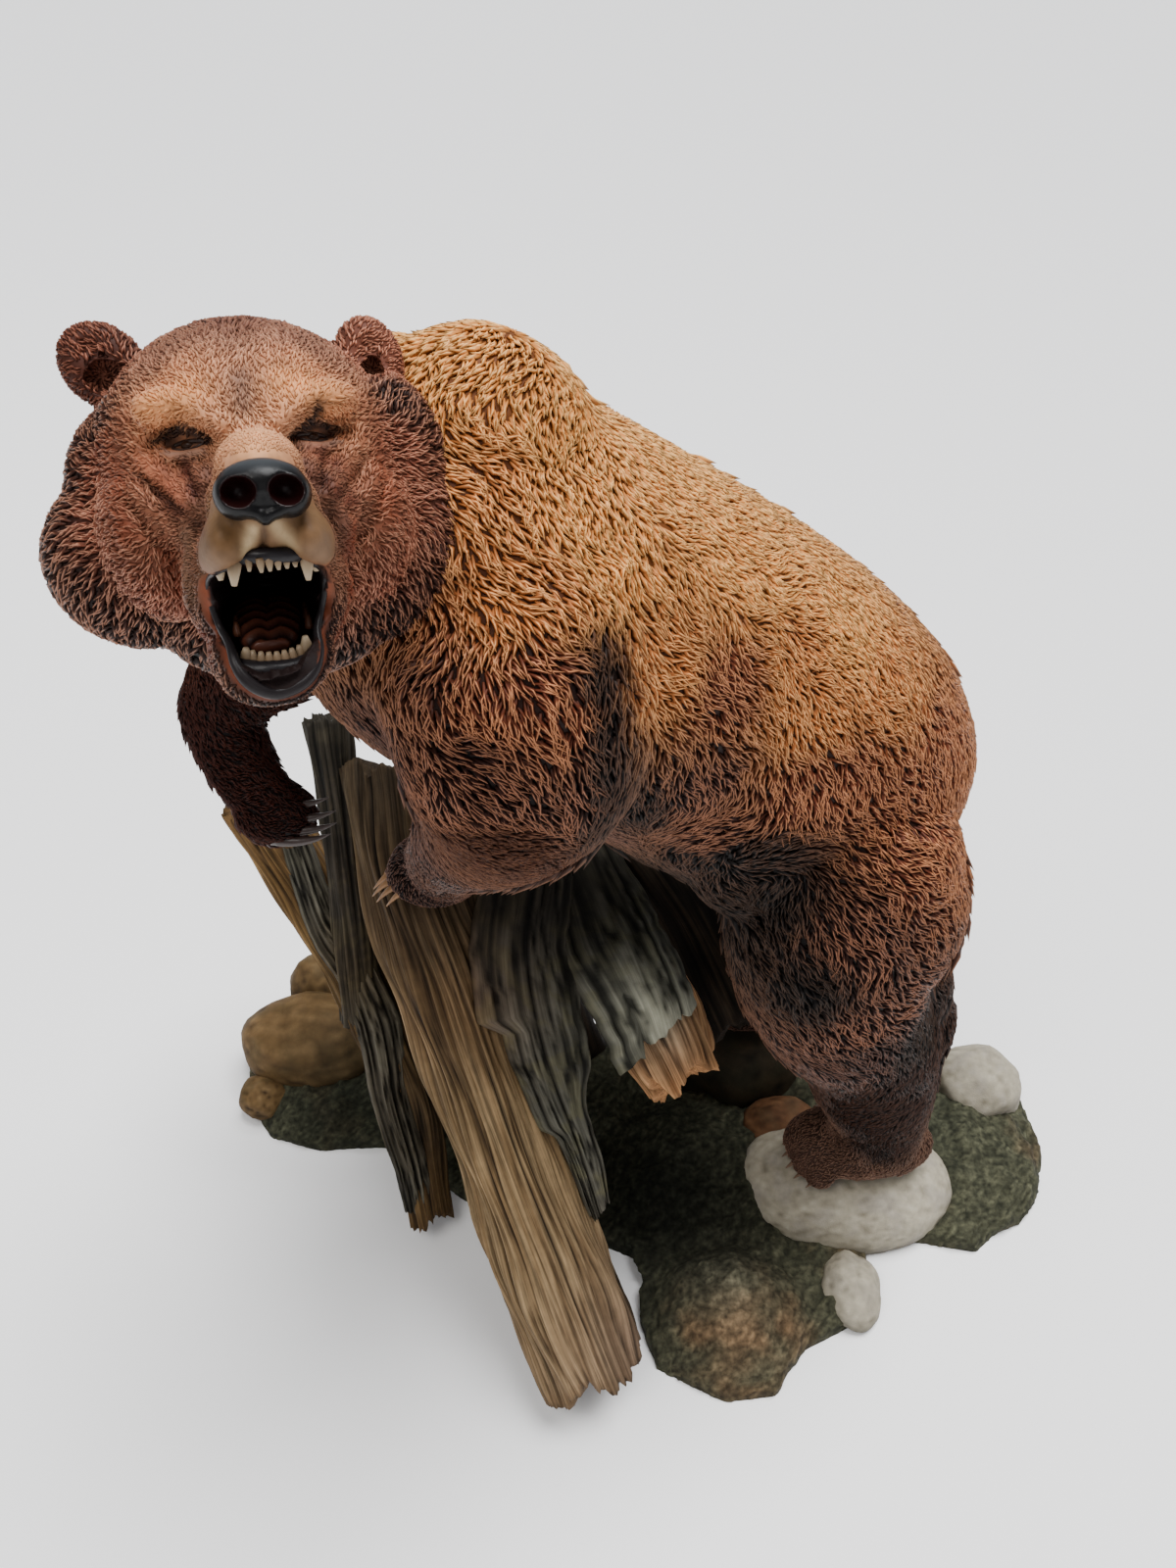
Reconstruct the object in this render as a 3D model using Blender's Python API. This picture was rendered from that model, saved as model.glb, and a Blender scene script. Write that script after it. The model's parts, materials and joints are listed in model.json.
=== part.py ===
# Painted resin statue of a roaring bear that climbs over a pile of driftwood.
# Two castings: the bear, and the base with its wood, stones and moss.
# Metres, +Z up, the bear heads towards -X, and the viewer stands on the -Y side.
import math

import bmesh
import bpy
import numpy as np
from mathutils import Matrix, Vector, kdtree, noise

# The bear's own size. Every landmark below is written in 230ths of this length, also on the
# base, because its stones and its log are carved to fit under the bear's feet.
BEAR_LENGTH = 0.230
UNIT = BEAR_LENGTH / 230

# The base: the height of its moss plate, the thickness of its bark, the height and the width
# of the moss's bumps, and the gap that keeps the two castings apart.
GROUND_THICKNESS = 0.006
BARK_THICKNESS = 0.0023
MOSS_BUMPS = ((0.0028, 0.0091), (0.0012, 0.0033))
SOLE_GAP = 0.0004

# How finely the fused forms are rebuilt, and how many triangles each keeps.
BODY_VOXEL = 0.0020
HEAD_VOXEL = 0.0011
GROUND_VOXEL = 0.0028
BODY_TRIANGLES = 3430
HEAD_TRIANGLES = 1900
GROUND_TRIANGLES = 480

# The carved fur: each lock's length and width, and how far its tip stands out.
BODY_LOCK = (0.018, 0.0085, 0.0030)
RUFF_LOCK = (0.012, 0.0052, 0.0022)
SEED = 7


def clear_scene():
    for old in list(bpy.data.objects):
        bpy.data.objects.remove(old)


def add_object(name, mesh):
    obj = bpy.data.objects.new(name, mesh)
    bpy.context.scene.collection.objects.link(obj)
    return obj


def object_from(name, points, faces):
    """A mesh object whose faces all point outwards."""
    mesh = bpy.data.meshes.new(name)
    mesh.from_pydata([tuple(p) for p in points], [], [tuple(f) for f in faces])
    work = bmesh.new()
    work.from_mesh(mesh)
    bmesh.ops.recalc_face_normals(work, faces=work.faces)
    work.to_mesh(mesh)
    work.free()
    return add_object(name, mesh)


def through(rows, steps):
    """Rows of numbers read at even steps from a smooth curve through the given ones."""
    rows = np.array(rows, float)
    ends = np.vstack([2 * rows[0] - rows[1], rows, 2 * rows[-1] - rows[-2]])
    found = []
    for i in range(len(rows) - 1):
        a, b, c, d = ends[i : i + 4]
        for k in range(steps):
            t = k / steps
            bend = (2 * a - 5 * b + 4 * c - d) * t * t
            twist = (3 * b - a - 3 * c + d) * t**3
            found.append(0.5 * (2 * b + (c - a) * t + bend + twist))
    found.append(rows[-1])
    return np.array(found)


def unit(v):
    v = np.array(v, float)
    return v / np.linalg.norm(v)


def tube(name, rings, start, end):
    """A closed body through equal rings of points, with a point at each end."""
    sides = len(rings[0])
    points = [p for ring in rings for p in ring]
    faces = []
    for i in range(len(rings) - 1):
        for k in range(sides):
            n = (k + 1) % sides
            faces.append((i * sides + k, i * sides + n, (i + 1) * sides + n, (i + 1) * sides + k))
    last = (len(rings) - 1) * sides
    first_point, last_point = len(points), len(points) + 1
    points += [start, end]
    for k in range(sides):
        n = (k + 1) % sides
        faces.append((first_point, n, k))
        faces.append((last_point, last + k, last + n))
    return object_from(name, points, faces)


def ring_at(centre, direction, side, half, up, down, sides, shape=None):
    """Points around a centre, and how far each stands out when a shape is given."""
    across = unit(np.array(side) - np.dot(side, direction) * direction)
    top = np.cross(direction, across)
    made = []
    for k in range(sides):
        angle = 2 * math.pi * k / sides
        out = shape[k] if shape is not None else 1.0
        rise = up if math.sin(angle) > 0 else down
        made.append(centre + out * (across * half * math.cos(angle) + top * rise * math.sin(angle)))
    return made


def loft(name, rows, side, steps=4, sides=20, dome=0.7):
    """A closed tube through rows of (x, y, z, half width, up, down), with rounded ends."""
    rows = through(rows, steps)
    centres, sizes = rows[:, :3], np.maximum(rows[:, 3:], 1e-5)
    along = np.gradient(centres, axis=0)
    first, last = unit(along[0]), unit(along[-1])
    bulge = [(0.35, 0.94), (0.7, 0.72)]
    rings = []
    for share, shrink in reversed(bulge):
        reach = dome * share * sizes[0].mean()
        rings.append(ring_at(centres[0] - first * reach, first, side, *(sizes[0] * shrink), sides))
    for centre, direction, size in zip(centres, along, sizes):
        rings.append(ring_at(centre, unit(direction), side, *size, sides))
    for share, shrink in bulge:
        reach = dome * share * sizes[-1].mean()
        rings.append(ring_at(centres[-1] + last * reach, last, side, *(sizes[-1] * shrink), sides))
    start = centres[0] - first * dome * sizes[0].mean()
    end = centres[-1] + last * dome * sizes[-1].mean()
    return tube(name, rings, start, end)


def horn(name, path, radii, sides=5):
    """A claw or a tooth: a bent cone through the path, pointed at its last point."""
    path = np.array(path, float)
    along = np.gradient(path, axis=0)
    side = (0.31, 0.52, 0.79)
    rings = [
        ring_at(p, unit(d), side, r, r, r, sides)
        for p, d, r in zip(path[:-1], along[:-1], radii)
    ]
    return tube(name, rings, path[0], path[-1])


def blob(name, centre, radii, turn=None, detail=3):
    """An ellipsoid, turned by a 3x3 matrix whose columns are its axes."""
    mesh = bpy.data.meshes.new(name)
    work = bmesh.new()
    bmesh.ops.create_icosphere(work, subdivisions=detail, radius=1)
    axes = Matrix(turn.tolist()).to_4x4() if turn is not None else Matrix.Identity(4)
    place = Matrix.Translation(Vector(centre)) @ axes @ Matrix.Diagonal((*radii, 1))
    bmesh.ops.transform(work, matrix=place, verts=work.verts)
    work.to_mesh(mesh)
    work.free()
    return add_object(name, mesh)


def joined(name, objects):
    """One object that holds the meshes of several, which are then removed."""
    work = bmesh.new()
    for obj in objects:
        work.from_mesh(obj.data)
        bpy.data.objects.remove(obj)
    mesh = bpy.data.meshes.new(name)
    work.to_mesh(mesh)
    work.free()
    return add_object(name, mesh)


def applied(obj):
    """The object with its modifiers made part of its mesh."""
    bpy.context.view_layer.update()
    graph = bpy.context.evaluated_depsgraph_get()
    mesh = bpy.data.meshes.new_from_object(obj.evaluated_get(graph))
    obj.modifiers.clear()
    obj.data = mesh
    return obj


def fused(name, objects, voxel, rounds):
    """Overlapping forms rebuilt as one skin, with the creases between them softened."""
    obj = joined(name, objects)
    remesh = obj.modifiers.new("Fuse", "REMESH")
    remesh.mode = "VOXEL"
    remesh.voxel_size = voxel
    smooth = obj.modifiers.new("Soften", "SMOOTH")
    smooth.factor = 0.5
    smooth.iterations = rounds
    return applied(obj)


def thinned(obj, triangles):
    """The mesh reduced to about that many triangles, most of them kept where it bends."""
    count = sum(len(p.vertices) - 2 for p in obj.data.polygons)
    decimate = obj.modifiers.new("Thin", "DECIMATE")
    decimate.ratio = min(1.0, triangles / count)
    return applied(obj)


def boolean(obj, other, operation):
    cut = obj.modifiers.new(operation.title(), "BOOLEAN")
    cut.operation = operation
    cut.solver = "EXACT"
    cut.object = other
    applied(obj)
    bpy.data.objects.remove(other)
    return obj


def material(name, colour, roughness):
    made = bpy.data.materials.new(name)
    made.use_nodes = True
    shader = made.node_tree.nodes["Principled BSDF"]
    shader.inputs["Base Color"].default_value = (*colour, 1)
    shader.inputs["Roughness"].default_value = roughness
    shader.inputs["Metallic"].default_value = 0
    made.diffuse_color = (*colour, 1)
    return made


def coordinates(mesh):
    found = np.empty(len(mesh.vertices) * 3, np.float32)
    mesh.vertices.foreach_get("co", found)
    return found.reshape(-1, 3).astype(float)


def normals(mesh):
    found = np.empty(len(mesh.vertices) * 3, np.float32)
    mesh.vertices.foreach_get("normal", found)
    return found.reshape(-1, 3).astype(float)


def tree_of(points):
    tree = kdtree.KDTree(len(points))
    for i, p in enumerate(points):
        tree.insert(p, i)
    tree.balance()
    return tree


def scattered(points, spacing):
    """Which of the points to keep so that none lies nearer another than the spacing."""
    order = np.random.default_rng(SEED).permutation(len(points))
    tree = tree_of(points)
    free = np.ones(len(points), bool)
    kept = []
    for i in order:
        if free[i]:
            kept.append(i)
            for _, n, _ in tree.find_range(points[i], spacing):
                free[n] = False
    return np.array(kept)


def flow_at(points, outward, guides):
    """The direction in which the fur lies at each point, along the skin."""
    places = np.array([g[0] for g in guides], float) * UNIT
    ways = np.array([unit(g[1]) for g in guides])
    apart = np.linalg.norm(points[:, None] - places[None], axis=2)
    found = (apart**-3) @ ways
    found -= outward * np.sum(found * outward, axis=1, keepdims=True)
    return found / np.maximum(np.linalg.norm(found, axis=1, keepdims=True), 1e-9)


def carved(obj, guides, lock, share):
    """Overlapping pointed locks raised on the skin. The share says how tall each stands."""
    length, width, height = lock
    mesh = obj.data
    points, outward = coordinates(mesh), normals(mesh)
    flow = flow_at(points, outward, guides)
    roots = scattered(points, 0.62 * width)
    tree = tree_of(points[roots])
    raised = np.zeros(len(points))
    for i, p in enumerate(points):
        for _, n, _ in tree.find_n(p, 7):
            root = roots[n]
            offset = p - points[root]
            along = np.dot(offset, flow[root]) / length + 0.5
            if not 0 < along < 1 or np.dot(outward[i], outward[root]) < 0.5:
                continue
            across = 2 * np.dot(offset, np.cross(flow[root], outward[root])) / width
            narrow = 1 if along < 0.6 else (1 - along) / 0.4
            if abs(across) < narrow:
                raised[i] = max(raised[i], along * (1 - (across / narrow) ** 2))
    points += outward * (height * raised * share(points))[:, None]
    mesh.vertices.foreach_set("co", points.ravel())
    mesh.update()
    return obj


# The bear's pose: the torso runs from the rump up to the neck, which turns to the viewer.
LEFT = unit((0.38, -0.925, 0))
TORSO = (
    (86, 28, 165, 20, 20, 20),
    (75, 24, 174, 35, 35, 36),
    (59, 17, 187, 43, 43, 44),
    (40, 10, 203, 45, 46, 46),
    (20, 3, 221, 44, 45, 45),
    (-5, -7, 241, 46, 44, 44),
    (-26, -13, 256, 44, 43, 42),
    (-40, -19, 266, 32, 40, 33),
    (-50, -27, 275, 22, 28, 24),
)
NEAR_HIND = (
    (74, -6, 172, 28, 34, 24),
    (69, -12, 148, 28, 32, 26),
    (74, -13, 122, 26, 28, 23),
    (85, -11, 97, 22, 22, 21),
    (93, -8, 72, 19, 21, 18),
    (98, -6, 52, 16, 18, 15),
    (99, -6, 36, 15, 18, 16),
)
FAR_HIND = (
    (80, 52, 160, 25, 30, 24),
    (72, 60, 132, 24, 29, 26),
    (71, 61, 106, 20, 23, 23),
    (75, 57, 82, 17, 18, 20),
    (74, 52, 64, 14, 15, 16),
    (70, 49, 50, 13, 14, 15),
)
NEAR_FORE = (
    (-12, -42, 250, 23, 30, 28),
    (-12, -46, 232, 21, 26, 24),
    (-15, -42, 217, 18, 20, 16),
    (-25, -28, 196, 14, 16, 14),
    (-34, -9, 172, 12, 13, 12),
    (-40, 6, 153, 12, 12, 11),
)
FAR_FORE = (
    (-40, 14, 244, 20, 24, 24),
    (-64, 10, 232, 16, 18, 18),
    (-82, 2, 222, 12, 13, 13),
    (-89, -3, 211, 9, 10, 9),
    (-86, -9, 199, 8, 8, 8),
    (-79, -14, 191, 7, 7, 7),
)
HEAD_CENTRE = np.array((-57.0, -48.0, 286.0))
GAZE = unit((0.285, -0.857, 0.43))
HEAD_ROLL = math.radians(4.8)

# How the fur lies: landmarks on the skin and the way the locks point there.
BODY_FLOW = (
    ((-21, -18, 308), (0.8, 0.1, -0.3)),
    ((20, 4, 278), (0.8, 0.2, -0.5)),
    ((80, 28, 228), (0.6, 0.2, -0.8)),
    ((110, 30, 170), (0.1, 0.1, -1)),
    ((-14, -64, 256), (0.4, -0.1, -0.9)),
    ((30, -42, 225), (0.6, 0, -0.8)),
    ((85, -38, 160), (0.3, 0, -1)),
    ((80, -38, 120), (0.3, 0, -1)),
    ((100, -28, 60), (0.2, 0, -1)),
    ((-50, -50, 240), (0.1, -0.2, -1)),
    ((-20, -70, 215), (0.2, 0.2, -1)),
    ((20, -10, 175), (0.6, 0, -0.7)),
    ((0, 40, 240), (0.6, 0.1, -0.8)),
    ((-36, 40, 250), (0.2, 0.3, -0.9)),
    ((80, 84, 150), (0.2, 0.1, -1)),
    ((72, 60, 80), (0, 0, -1)),
    ((-96, 0, 220), (-0.2, -0.2, -1)),
    ((-80, -14, 192), (0.7, -0.3, -0.5)),
    ((-36, -20, 180), (-0.5, 0.5, -0.6)),
)
HEAD_FLOW = (
    ((-57, -88, 305), (-0.1, 0.9, 0.5)),
    ((-57, -52, 322), (0, 1, 0)),
    ((-88, -60, 285), (-0.8, 0.5, -0.5)),
    ((-28, -60, 285), (0.8, 0.5, -0.5)),
    ((-82, -64, 264), (-0.6, 0.2, -1)),
    ((-34, -64, 262), (0.5, 0.2, -1)),
    ((-57, -62, 255), (0, 0.4, -1)),
    ((-57, -20, 290), (0.3, 0.8, -0.5)),
)


def at(*point):
    """A bear landmark in metres."""
    return np.array(point, float) * UNIT


def rows_at(rows):
    return [[value * UNIT for value in row] for row in rows]


def torso():
    return [
        loft("torso", rows_at(TORSO), LEFT, sides=28),
        blob("hump", at(-22, -15, 280), at(25, 24, 27.5)),
        blob("near_shoulder", at(-13, -42, 245), at(27, 20, 33)),
        blob("far_shoulder", at(-36, 18, 248), at(25, 20, 32)),
        blob("nape", at(-38, -11, 280), at(24, 22, 24)),
        blob("near_haunch", at(71, -12, 152), at(31, 25, 36)),
        blob("far_haunch", at(76, 56, 148), at(30, 24, 34)),
        blob("flank_fold", at(42, -15, 182), at(19, 16, 24)),
        blob("tail", at(101, 33, 163), at(6, 7, 12)),
    ]


def legs():
    return [
        loft("near_hind_leg", rows_at(NEAR_HIND), LEFT),
        loft("far_hind_leg", rows_at(FAR_HIND), LEFT),
        loft("near_fore_leg", rows_at(NEAR_FORE), LEFT),
        loft("far_fore_leg", rows_at(FAR_FORE), LEFT),
        blob("near_calf", at(95, -7, 115), at(12, 13, 19)),
        blob("near_hock", at(102, -5, 95), at(11, 12, 15)),
        blob("near_hind_foot", at(93, -7, 32), at(26, 14, 9)),
        blob("far_hind_foot", at(60, 45, 44), at(24, 13, 9)),
        blob("near_fore_paw", at(-44, 9, 147), at(14, 13, 9)),
        blob("far_fore_paw", at(-78, -15, 189), at(10, 8, 7)),
    ]


def toes(centre, ahead, across, spread, reach, radius):
    """Four toes side by side at the front of a foot."""
    made = []
    for k in (-1.5, -0.5, 0.5, 1.5):
        place = np.array(centre) + np.array(across) * spread * k
        place = place + np.array(ahead) * (reach - 1.2 * k * k)
        made.append(blob("toe", at(*place), at(radius * 1.3, radius, radius)))
    return made


def claws(centre, ahead, across, drop, spread, length, radius):
    """Five claws that leave the foot forwards and bend down."""
    made = []
    ahead, across, drop = unit(ahead), unit(across), np.array(drop, float)
    for k in (-2, -1, 0, 1, 2):
        root = np.array(centre) + across * spread * k - ahead * 0.8 * k * k
        middle = root + ahead * length * 0.55 + drop * length * 0.12
        tip = root + ahead * length * 0.95 + drop * length * 0.5
        path = [at(*root), at(*middle), at(*tip)]
        made.append(horn("claw", path, (radius * UNIT, radius * 0.7 * UNIT)))
    return made


def all_claws():
    near = claws((72, -12, 27), (-1, -0.35, 0), (0.35, -1, 0), (0, 0, -1), 4.4, 8, 1.4)
    far = claws((40, 40, 40), (-1, -0.2, 0), (0.2, -1, 0), (0, 0, -1), 4.2, 8, 1.4)
    fore = claws((-55, 8, 145), (-1, -0.25, -0.2), (0.3, -1, 0.3), (0, 0, -1), 3.9, 12, 1.5)
    raised = claws((-74, -16, 188), (1, -0.2, 0.2), (0.1, -0.9, -0.5), (0.1, 0, -0.5), 2.6, 14, 1.4)
    return near + far + fore + raised


def head_axes():
    """Columns: to the viewer's right, into the head, and up, as 3x3."""
    across = unit(np.array((1, 0, 0)) - GAZE[0] * GAZE)
    up = np.cross(across, -GAZE)
    c, s = math.cos(HEAD_ROLL), math.sin(HEAD_ROLL)
    return np.column_stack([c * across + s * up, -GAZE, c * up - s * across])


def in_head(point):
    return (HEAD_CENTRE + head_axes() @ np.array(point, float)) * UNIT


def head_blob(name, centre, radii, lean=0.0, detail=3):
    """An ellipsoid in the head's own frame, leant sideways by some degrees."""
    c, s = math.cos(math.radians(lean)), math.sin(math.radians(lean))
    turn = head_axes() @ np.array(((c, 0, s), (0, 1, 0), (-s, 0, c)))
    return blob(name, in_head(centre), [r * UNIT for r in radii], turn, detail)


def head_forms():
    return [
        head_blob("skull", (1, 4, 6.5), (27, 26, 26.5)),
        head_blob("crown", (2, 9, 14), (24, 18, 19)),
        head_blob("left_temple", (-16.5, 6, 5), (13.5, 14, 17)),
        head_blob("right_temple", (20.5, 3, 6), (14, 13, 19)),
        head_blob("forehead", (1, -6, 14), (17, 18, 15)),
        head_blob("ruff_left", (-19, 6, -4.5), (16.5, 15, 15.5)),
        head_blob("ruff_right", (20, 3, -4), (16, 14, 19)),
        head_blob("throat", (2, 4, -14), (22, 17, 14)),
        head_blob("cheek_left", (-14, -6, -1), (11, 13, 14)),
        head_blob("cheek_right", (15, -6, -2), (11, 13, 14)),
        head_blob("brow_left", (-8, -17, 16), (7, 5, 3.6), 12),
        head_blob("brow_right", (10, -17, 16), (7, 5, 3.6), -12),
        head_blob("muzzle_root", (0.8, -17, 0), (15, 11, 12.5)),
        head_blob("bridge", (1, -26, 7), (6.5, 18, 6)),
        head_blob("muzzle", (0.6, -31, 1), (8.3, 15, 7.5)),
        head_blob("lip_left", (-4.9, -36, -2.4), (3.9, 9, 5.2), 26),
        head_blob("lip_right", (6.0, -36, -2.6), (3.9, 9, 5.2), -26),
        head_blob("jaw_sides", (0, -20, -10), (12.5, 15, 14)),
        head_blob("jaw", (-1, -24, -20), (9.5, 14, 7.5)),
        head_blob("chin", (-1.6, -31, -22.5), (7, 6, 4.6)),
        head_blob("left_ear", (-21, 7.5, 27), (6.5, 4.6, 7.5), -42),
        head_blob("right_ear", (22.9, 5, 25), (6, 4.6, 7.8), -5),
    ]


def head_cuts():
    """The open mouth, the hollows of the ears, the eye sockets and the nostrils."""
    return [
        head_blob("mouth_top", (0, -34, -9.2), (8.2, 24, 4.6)),
        head_blob("mouth_depth", (-0.6, -30, -14), (7.2, 22, 6.6)),
        head_blob("mouth_floor", (-1.2, -33, -18.2), (5.4, 17, 2.6)),
        head_blob("mouth_corners", (0, -42, -13.5), (20, 16, 5.2)),
        head_blob("left_ear_hollow", (-20.4, 2.8, 24.4), (4, 3.6, 2.4), -17),
        head_blob("right_ear_hollow", (22.2, 0.6, 21.8), (2.2, 3.6, 3.4), 20),
        head_blob("left_socket", (-8.9, -23.4, 12), (3.4, 5, 2.2), -6),
        head_blob("right_socket", (10.4, -23.4, 12.3), (3.4, 5, 2.2), 6),
    ]


def teeth():
    """Four canines, the small front teeth between them and a few side teeth."""
    made = []

    def canine(root, tip, radius):
        middle = np.array(root) * 0.5 + np.array(tip) * 0.5
        path = [in_head(p) for p in (root, middle, tip)]
        made.append(horn("canine", path, (radius * UNIT, radius * 0.75 * UNIT)))

    def tooth(root, tip, radius):
        made.append(horn("tooth", [in_head(root), in_head(tip)], (radius * UNIT,), sides=4))

    canine((-4.7, -39.6, -3.6), (-5.2, -40.6, -9.2), 1.15)
    canine((5.6, -39.6, -3.8), (5.4, -40.6, -9.2), 1.15)
    canine((-5.0, -31.6, -21.4), (-5.0, -33.6, -14.9), 1.05)
    canine((3.3, -31.6, -21.8), (3.4, -33.6, -15.4), 1.05)
    for k in range(6):
        x = -2.7 + 1.25 * k
        tooth((x + 0.05, -41.2 - 0.25 * (2.5 - abs(k - 2.5)), -3.8), (x, -41.6, -6.9), 0.55)
        tooth((x * 0.92 - 1.1, -33.0, -22.0), (x * 0.92 - 1.1, -33.8, -18.2), 0.55)
    for side, x in ((-1, -6.6), (1, 7.0)):
        for k in range(3):
            y = -33.5 + 4.6 * k
            tooth((x + 0.3 * side * k, y, -4.4), (x + 0.2 * side * k, y, -8.0), 1.1)
    return made


def head():
    skull = fused("head", head_forms(), HEAD_VOXEL, 3)
    for cutter in head_cuts():
        boolean(skull, cutter, "DIFFERENCE")

    def share(points):
        """Full locks on the ruff, fading towards the short fur of the face and the ears."""
        inward = (points / UNIT - HEAD_CENTRE) @ head_axes()
        face = np.clip((-6 - inward[:, 1]) / 8, 0, 1)
        ears = np.exp(-(((inward[:, 2] - 30) / 8) ** 2))
        return np.clip(1 - 0.8 * face - 0.9 * ears, 0, 1)

    skull = fused("head", [skull], HEAD_VOXEL, 1)
    carved(skull, HEAD_FLOW, RUFF_LOCK, share)
    thinned(skull, HEAD_TRIANGLES)
    nose = head_blob("nose", (0.7, -44.6, 3.8), (6.9, 4.4, 4.3), detail=2)
    for x in (-3.0, 4.3):
        boolean(nose, head_blob("nostril", (x, -49.6, 3.4), (1.9, 3.4, 1.9), detail=1), "DIFFERENCE")
    boolean(skull, nose, "UNION")
    boolean(skull, head_blob("tongue", (-0.8, -19, -16.6), (4.8, 13, 2.4), detail=2), "UNION")
    for x, z in ((-8.9, 12.2), (10.4, 12.4)):
        boolean(skull, head_blob("eye", (x, -17.4, z), (2.3, 2.3, 2.1), detail=2), "UNION")
    return boolean(skull, joined("teeth", teeth()), "UNION")


def bear():
    forms = torso() + legs()
    forms += toes((76, -12, 29), (-1, -0.3, 0), (0.3, -1, 0), 5.2, 2.5, 3.6)
    forms += toes((43, 41, 42), (-1, -0.2, 0), (0.2, -1, 0), 5.0, 2.5, 3.6)
    forms += toes((-52, 8, 145), (-1, -0.2, 0), (0.2, -1, 0.2), 4.8, 2.5, 3.4)
    body = fused("body", forms, BODY_VOXEL, 4)

    def share(points):
        """Full locks, fading towards the feet and along the raised leg."""
        feet = np.clip((points[:, 2] / UNIT - 38) / 25, 0, 1)
        raised = np.clip((points[:, 0] / UNIT + 98) / 30, 0.25, 1)
        return feet * raised

    carved(body, BODY_FLOW, BODY_LOCK, share)
    thinned(body, BODY_TRIANGLES)
    whole = boolean(body, head(), "UNION")
    boolean(whole, joined("claws", all_claws()), "UNION")
    for seat in seats(SOLE_GAP):
        boolean(whole, seat, "DIFFERENCE")
    whole.name = "bear"
    whole.data.materials.clear()
    whole.data.materials.append(material("bear fur", (0.30, 0.12, 0.06), 0.5))
    return whole


# The base: the plan of the moss plate, then the wood from end to end.
GROUND_OUTLINE = (
    (-131, 29), (-120, 14), (-99, 9), (-75, 10), (-58, -2), (-44, -12), (-10, -22),
    (20, -35), (17, -55), (22, -70), (43, -80), (60, -78), (66, -66), (90, -55),
    (96, -42), (96, -30), (112, -27), (135, -31), (150, -18), (168, 2), (169, 14),
    (168, 32), (148, 46), (120, 66), (90, 68), (60, 68), (30, 64), (0, 62),
    (-30, 68), (-60, 76), (-90, 86), (-112, 86), (-130, 70), (-136, 50),
)
MAIN_LOG = ((3, -78, 15), (-9, -58, 36), (-25, -30, 66), (-42, 2, 103), (-54, 24, 130), (-60, 36, 144))
BARK = (0.95, 0.2, -0.2)
SPLINTER = 0.25


def log(name, ends, half_width, thickness, sides=10, grow=0.0, seed=0, steps=1, foot=1.0):
    """A weathered log: grooves run along it and its ends are broken into splinters.

    Its first end is `foot` times as thick as its last."""
    shares = np.linspace(foot, 1, len(ends))
    rows = [[*at(*p), shares[i] * (1 + 0.08 * math.sin(3 * i + seed))] for i, p in enumerate(ends)]
    rows = through(rows, steps)
    centres, swell = rows[:, :3], rows[:, 3]
    along = np.gradient(centres, axis=0)
    dice = np.random.default_rng(seed)
    groove = 1 - 0.22 * dice.random(sides) * (np.arange(sides) % 2)
    ragged = dice.uniform(-1, 1, (2, sides)) * half_width * UNIT * SPLINTER
    rings = []
    for i, (centre, direction) in enumerate(zip(centres, along)):
        direction = unit(direction)
        half = (half_width * UNIT * swell[i] + grow, thickness * UNIT * swell[i] + grow)
        shape = groove * (1 + 0.05 * np.sin(np.arange(sides) * 1.7 + i * 0.8))
        ring = ring_at(centre, direction, BARK, half[0], half[1], half[1], sides, shape)
        if i in (0, len(centres) - 1):
            ring = [p + direction * r for p, r in zip(ring, ragged[min(i, 1)])]
        rings.append(ring)
    return tube(name, rings, centres[0], centres[-1])


def slab(name, rows, seed=0, across=6):
    """A strip of bark over a log: rows of (x, y, z, half width), with a torn outline."""
    rows = through(rows_at(rows), 2)
    centres, halves = rows[:, :3], rows[:, 3]
    along = np.gradient(centres, axis=0)
    dice = np.random.default_rng(seed)
    count = len(rows)
    top, bottom = [], []
    for i in range(count):
        direction = unit(along[i])
        side = unit(np.array(BARK) - np.dot(BARK, direction) * direction)
        up = np.cross(side, direction)
        if up[2] < 0:
            up = -up
        tear = dice.uniform(-0.18, 0.18, 2) * halves[i]
        for k in range(across):
            s = -1 + 2 * k / (across - 1)
            reach = s * halves[i] + (tear[0] if s < 0 else tear[1]) * abs(s)
            point = centres[i] + side * reach - up * 0.35 * halves[i] * s * s
            if i in (0, count - 1):
                point = point + direction * dice.uniform(-1, 1) * halves[i] * 0.5
            ridge = BARK_THICKNESS * (1.0 - 0.35 * (k % 2))
            top.append(point + up * ridge)
            bottom.append(point - up * BARK_THICKNESS)
    faces = []
    total = len(top)
    for i in range(count - 1):
        for k in range(across - 1):
            a, b = i * across + k, i * across + k + 1
            c, d = b + across, a + across
            faces += [(a, b, c, d), (total + d, total + c, total + b, total + a)]
    edge = [k for k in range(across)]
    edge += [i * across + across - 1 for i in range(1, count)]
    edge += [(count - 1) * across + k for k in range(across - 2, -1, -1)]
    edge += [i * across for i in range(count - 2, 0, -1)]
    for k, a in enumerate(edge):
        b = edge[(k + 1) % len(edge)]
        faces.append((b, a, total + a, total + b))
    return object_from(name, top + bottom, faces)


def stone(name, centre, radii, seed, detail=1, rough=0.12, grow=0.0):
    """A worn stone, a little uneven all round."""
    obj = blob(name, at(*centre), [r * UNIT + grow for r in radii], detail=detail)
    middle = Vector(at(*centre))
    for vertex in obj.data.vertices:
        out = vertex.co - middle
        way = out.normalized()
        vertex.co = middle + out * (1 + rough * noise.noise(way * 1.6 + Vector((seed, 0, 0))))
    return obj


def hind_stone(grow=0.0):
    return stone("hind_stone", (92, -8, 6), (39, 25, 18), 3, detail=2, rough=0.05, grow=grow)


def far_rock(grow=0.0):
    return stone("far_rock", (58, 45, 10), (29, 21, 26), 11, detail=2, rough=0.16, grow=grow)


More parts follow.
